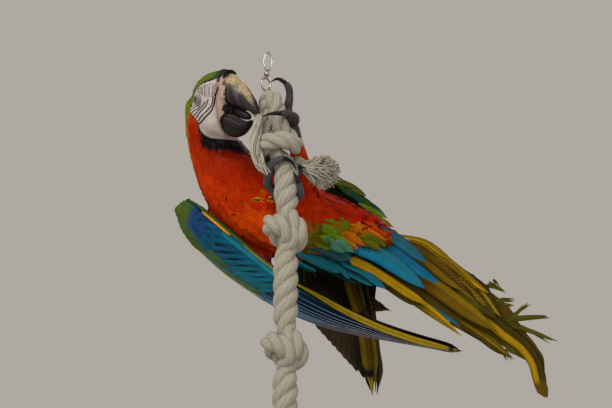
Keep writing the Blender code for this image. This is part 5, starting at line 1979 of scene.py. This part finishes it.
def add_tail_tips(shape):
    """Two shorter barred feathers whose tips lie over the tail's worn upper edge."""
    barred = {"rim": 0.9, "shaft": 0.7, "bars": 0.55}
    plumes(shape, [
        ([(236, 138, 391), (254, 139, 379), (271, 140, 366), (287, 141, 351)], 8.5, TAIL_SHADE, TAIL_OLIVE,
         barred),
        ([(240, 137, 388), (258, 137, 370), (274, 138, 348), (288, 139, 322)], 8.5, TAIL_OLIVE, TAIL_SHADE,
         barred),
        ([(252, 138, 386), (268, 138, 368), (284, 139, 347), (296, 140, 327)], 6.0, TAIL_SHADE, TAIL_SUN,
         barred),
    ], rows=40, cols=11, outline=flight, thick=0.5, bulge=0.12, fray=0.2)


BARBS = [  # frayed barbs of the tail, from root to tip, and how many lie together
    ((287, 378), (297, 371), 3), ((279, 372), (307, 363), 4), ((290, 350), (318, 352), 4),
    ((290, 343), (316, 341), 4),
    ((312, 326), (338, 344), 4), ((306, 322), (362, 326), 6), ((312, 313), (352, 304), 4),
    ((322, 312), (371, 292), 4),
    ((300, 284), (336, 266), 4), ((292, 286), (304, 266), 4), ((298, 280), (312, 268), 3),
]


def add_barbs(shape):
    """Loose barbs where the tail's vanes are worn through, and a short fringe along its upper edge."""
    ends = [(a, b) for a, b, many in BARBS for _ in range(many)]
    start = np.array([(x, 147, z) for (x, z), _ in ends]) + rng.normal(0, 1, (len(ends), 3)) * (2.0, 0.8, 2.4)
    end = np.array([(x, 149, z) for _, (x, z) in ends]) + rng.normal(0, 1, (len(ends), 3)) * (3.0, 1.2, 1.8)
    n = 60
    margin = [
        (190, 137, 432), (208, 137, 420), (228, 138, 402), (250, 139, 384), (274, 141, 362), (292, 142, 342)
    ]
    fringe = spline(margin, np.sort(rng.random(n)))
    start = np.concatenate([start, fringe])
    end = np.concatenate(
        [end, fringe + (7, 0.5, -1.5) * rng.uniform(0.5, 1.5, (n, 1)) + rng.normal(0, 1.2, (n, 3))]
    )
    bend = (start + end) / 2 + (0, 0, 1) * rng.uniform(0.3, 1.6, (len(start), 1))
    spine = np.stack([spline([a, b, c], np.linspace(0, 1, 8)) for a, b, c in zip(start, bend, end)])
    ahead = unit(np.gradient(spine, axis=1))
    up = unit(np.array((0.0, -1, 0.1)) - ahead * (ahead @ (0.0, -1, 0.1))[..., None])
    half = 0.9 + 0.03 * norm(end - start)
    tint = mix(TAIL_SHADE, TAIL_OLIVE, rng.uniform(0, 1, len(start)))
    add_vanes(shape, spine, np.cross(up, ahead), up, half, sliver, cols=3, thick=0.4, fray=0.1, tint=tint)


def make_tail():
    """The golden underside and the blue upper side."""
    under = Shape()
    add_tail_under(under)
    add_tail_tips(under)
    add_barbs(under)
    under.build("tail_quills_under", QUILLED, ["tail"])
    back = Shape()
    add_tail_back(back)
    back.build("tail_quills_upper", QUILLED)


# ---------------------------------------------------------------- rump and flank
def add_tail_coverts(shape):
    """Blue coverts over the tail's root, the yellow edge feathers and the teal flank feathers below them."""
    sky, slate, sea = (0.008, 0.165, 0.270), (0.022, 0.105, 0.140), (0.008, 0.135, 0.175)
    soft = {"rim": 0.85, "shaft": 0.25}
    lit = {"rim": 0.6, "shaft": 0.15}
    plumes(shape, [
        ([(122, 96, 446), (148, 104, 430), (172, 110, 413), (192, 112, 397)], 9.0, slate,
         mix(slate, sky, 0.4), soft),
        ([(126, 98, 424), (154, 104, 405), (180, 108, 386), (208, 108, 367)], 8.5, (0.006, 0.100, 0.200),
         (0.008, 0.130, 0.240), soft),
        ([(70, 80, 416), (112, 88, 409), (150, 98, 389), (188, 104, 359)], 12.5, mix(slate, sky, 0.6), sky,
         lit),
    ], rows=34, cols=11, outline=lobe, thick=0.6, bulge=0.14, fray=0.06, tip=0.8)
    plumes(shape, [
        ([(84, 92, 398), (108, 97, 388), (136, 106, 373), (163, 113, 356), (189, 116, 340)], 6.8, TAIL_SUN,
         (0.36, 0.20, 0.003), {"rim": 0.75, "shaft": 0.45}),
        (at_depth(122, (116, 382), (140, 366), (160, 352), (186, 337)), 6.5, TAIL_SHADE, TAIL_OLIVE,
         {"bars": 0.8, "rim": 0.9, "shaft": 0.2})
    ], rows=60, cols=11, outline=flight, thick=0.6, bulge=0.14, fray=0.05)
    plumes(shape, [
        (at_depth(88, (22, 424), (56, 412), (88, 395)), 11.0, mix(slate, TEAL, 0.4), np.array(slate) * 0.8,
         lit),
        (at_depth(93, (12, 407), (42, 391), (72, 378)), 4.4, sea, (0.012, 0.100, 0.120), soft),
        (at_depth(94, (26, 404), (50, 396), (80, 381)), 4.2, (0.006, 0.080, 0.110), sea, soft),
        (at_depth(95, (58, 397), (72, 385), (85, 370)), 3.4, sea, sea, soft),
        (at_depth(98, (72, 396), (104, 380), (134, 357)), 5.5, (0.006, 0.110, 0.170), sea, soft),
        (at_depth(99, (64, 388), (90, 376), (118, 361)), 4.2, (0.004, 0.050, 0.070), sea, soft),
        (at_depth(96, (8, 398), (22, 388), (40, 380)), 4.0, sea, (0.004, 0.040, 0.050), soft),
        (at_depth(101, (20, 396), (56, 384), (96, 366)), 5.0, SOOT, (0.004, 0.030, 0.035), soft),
    ], (0.05, -1, 0.05), rows=20, outline=flight, thick=0.5, bulge=0.14, fray=0.08)


def add_flank(shape):
    """Soft feathers in the flank's mixed colours, laid over the coat where it meets the tail coverts."""
    green, moss = (0.115, 0.200, 0.004), (0.130, 0.125, 0.003)
    amber, flame = (0.48, 0.125, 0.002), (0.46, 0.045, 0.001)
    leaves = [
        ((96, 86, 448), (148, 98, 426), flame), ((84, 76, 441), (142, 94, 421), amber),
        ((100, 76, 428), (136, 90, 413), moss), ((72, 70, 428), (110, 84, 410), amber),
        ((46, 68, 436), (80, 76, 420), green), ((40, 68, 426), (76, 76, 411), green),
        ((58, 69, 428), (94, 79, 411), green), ((52, 68, 418), (86, 78, 404), mix(green, SHEEN_TEAL, 0.5)),
    ]
    feathers = []
    for start, end, tone in leaves:
        for step in range(5):
            begin = np.array(start) + rng.normal(0, (5, 0.5, 3)) + (2 * step, 0.6 * step, -step)
            tip = begin + (np.array(end) - start) * rng.uniform(0.5, 0.8)
            own = np.array(tone) * rng.uniform(0.8, 1.15)
            line = [begin, 0.5 * (begin + tip) + (0, 0, 1.5), tip]
            feathers.append((line, 4.6, own, own * 0.85, {"rim": 0.3, "shaft": 0.0}))
    plumes(
        shape, feathers, (0.0, -1, -0.1), rows=14, cols=9, outline=lobe, thick=0.35, bulge=0.15, fray=0.25,
        tip=0.6
    )


def add_breast_streak(shape):
    """The short amber streak on the breast, with a thin dark green line in it."""
    green, gold, rust = (0.030, 0.055, 0.004), (0.55, 0.26, 0.004), (0.16, 0.030, 0.002)
    for places, tone, half, depth in (
        ([(-44, 467), (-36, 470), (-26, 470.5), (-14, 469)], gold, 1.2, 0.4),
        ([(-40, 465.5), (-32, 464)], gold, 1.0, 0.4),
        ([(-42, 467), (-34, 467), (-24, 466)], green, 1.1, 0.7),
        ([(-24, 465), (-16, 466), (-8, 467)], rust, 1.0, 0.7),
    ):
        for x, z in places:
            roots = np.array([(x, 40.0, z)]) + rng.normal(0, (1.5, 0, 0.5), (4, 3))
            spine, side, up = grow(
                roots, np.full(4, 9.0), rows=6, start=1.2 + depth, lean=np.tile((1.0, 0, 0.02), (4, 1))
            )
            add_vanes(
                shape, spine, side, up, np.full(4, half), sliver, cols=5, thick=0.2, fray=0.1, tint=tone
            )


def add_rump_feathers(shape):
    """The coverts of the rump as seen from the back and above."""
    n = 90
    at, lane = np.sort(rng.uniform(0.02, 0.34, n))[::-1], rng.uniform(-0.7, 0.7, n)
    share = lanes(run(at, 0.05, 0.11), 8)
    spine, front = tail_place(share, lanes(run(lane, 0.0, 0.0), 8), -(9.5 - 16 * share))
    ahead = unit(np.gradient(spine, axis=1))
    up = square_to(ahead, -front)
    tint = mix(mix(BLUE, TEAL, 0.5), GREEN, rng.uniform(0, 0.35, n))
    add_vanes(
        shape, spine, np.cross(up, ahead), up, np.full(n, 6.5), lobe, cols=7, thick=0.4, bulge=0.2,
        fray=0.1, tint=tint
    )


def add_far_shoulder(shape):
    """Feathers of the far wing that stand out above the back."""
    moss = mix(DARK_GREEN, OLIVE, 0.4)
    feathers = [
        (((52, 124, 516), (62, 126, 528), (70, 128, 538)), 5.0, OLIVE),
        (((62, 126, 530), (68, 128, 538), (72, 130, 545)), 4.2, moss),
        (((56, 132, 520), (78, 137, 518), (100, 140, 512)), 5.5, moss),
        (((66, 134, 524), (90, 140, 514), (112, 142, 500)), 5.5, moss),
        (((72, 134, 512), (98, 141, 500), (124, 144, 486)), 6, DARK_GREEN),
        (((90, 138, 500), (115, 144, 489), (138, 146, 474)), 5.5, (0.012, 0.05, 0.045)),
        (((100, 136, 488), (122, 142, 479), (142, 144, 468)), 4.5, mix(GREEN, OLIVE, 0.3)),
        (((112, 134, 474), (132, 140, 465), (150, 142, 454)), 4.5, OLIVE),
    ]
    plumes(
        shape, [(line, half, tone, tone, {"shaft": 0.2}) for line, half, tone in feathers],
        (0.1, -1, 0.3), rows=14, outline=lobe, thick=0.45, bulge=0.2, fray=0.12, quill=0.2,
    )


def make_rump():
    """Tail coverts and flank, rump and breast streak, and the far shoulder."""
    coverts = Shape()
    add_tail_coverts(coverts)
    add_flank(coverts)
    coverts.build("tail_cover_feathers", QUILLED, ["tail_coverts"])
    rump = Shape()
    add_rump_feathers(rump)
    add_breast_streak(rump)
    rump.build("rump_feathers", FEATHER)
    far = Shape()
    add_far_shoulder(far)
    far.build("shoulder_feathers", QUILLED)


make_right_wing()
make_left_wing()
make_tail()
make_rump()

# ---------------------------------------------------------------- floor, light and camera
CAMERA_AT, CAMERA_LENS, LOOK_UP = (0.026, -1.4489, 0.0618), 67.85, 15
LAMPS_AIM = Vector((0.05, 0.08, 0.42))
FLOOR_DROP = 0.0006


def stage_material(name, colour):
    made, tree, shader = new_material(name, Roughness=0.9)
    tone = blend(tree, spread(tree, noise(tree, 3, 4), 0, 1), colour, tuple(0.94 * c for c in colour))
    tree.links.new(tone, shader.inputs["Base Color"])
    return made


def make_stage():
    """A plain pale floor, a plain pale surround and soft studio light."""
    mesh = bpy.data.meshes.new("floor")
    bm = bmesh.new()
    bmesh.ops.create_grid(bm, x_segments=8, y_segments=8, size=6)
    bmesh.ops.translate(bm, vec=(0, 0, -FLOOR_DROP), verts=bm.verts)
    bm.to_mesh(mesh)
    bm.free()
    floor = bpy.data.objects.new("floor", mesh)
    bpy.context.scene.collection.objects.link(floor)
    mesh.materials.append(stage_material("pale_floor", (0.62, 0.59, 0.54)))
    world = bpy.data.worlds.new("studio")
    world.use_nodes = True
    background = world.node_tree.nodes["Background"]
    background.inputs["Color"].default_value = (0.50, 0.465, 0.42, 1)
    background.inputs["Strength"].default_value = 0.85
    bpy.context.scene.world = world
    for name, at, width, watts, colour in (
        ("key", (-0.9, -1.6, 1.5), 1.3, 30, (1.0, 0.98, 0.95)),
        ("fill", (1.5, -1.3, 0.7), 1.2, 9, (0.95, 0.97, 1.0)),
        ("low", (-0.7, -1.2, 0.05), 0.8, 5, (1.0, 0.97, 0.93)),
        ("back", (0.7, 1.5, 1.4), 1.2, 18, (1.0, 0.97, 0.94)),
    ):
        lamp = bpy.data.lights.new(name, "AREA")
        lamp.energy = watts
        lamp.size = width
        lamp.color = colour
        obj = bpy.data.objects.new(name, lamp)
        obj.location = at
        obj.rotation_euler = (LAMPS_AIM - Vector(at)).to_track_quat("-Z", "Y").to_euler()
        bpy.context.scene.collection.objects.link(obj)
    bpy.context.scene.view_settings.view_transform = "Standard"


def make_camera():
    """Set 1.5 m from the bird and below it, looking up."""
    data = bpy.data.cameras.new("camera")
    data.lens = CAMERA_LENS
    data.sensor_width = 36
    data.clip_start = 0.05
    camera = bpy.data.objects.new("camera", data)
    camera.location = CAMERA_AT
    camera.rotation_euler = (math.radians(90 + LOOK_UP), 0, 0)
    bpy.context.scene.collection.objects.link(camera)
    bpy.context.scene.camera = camera


make_stage()
make_camera()
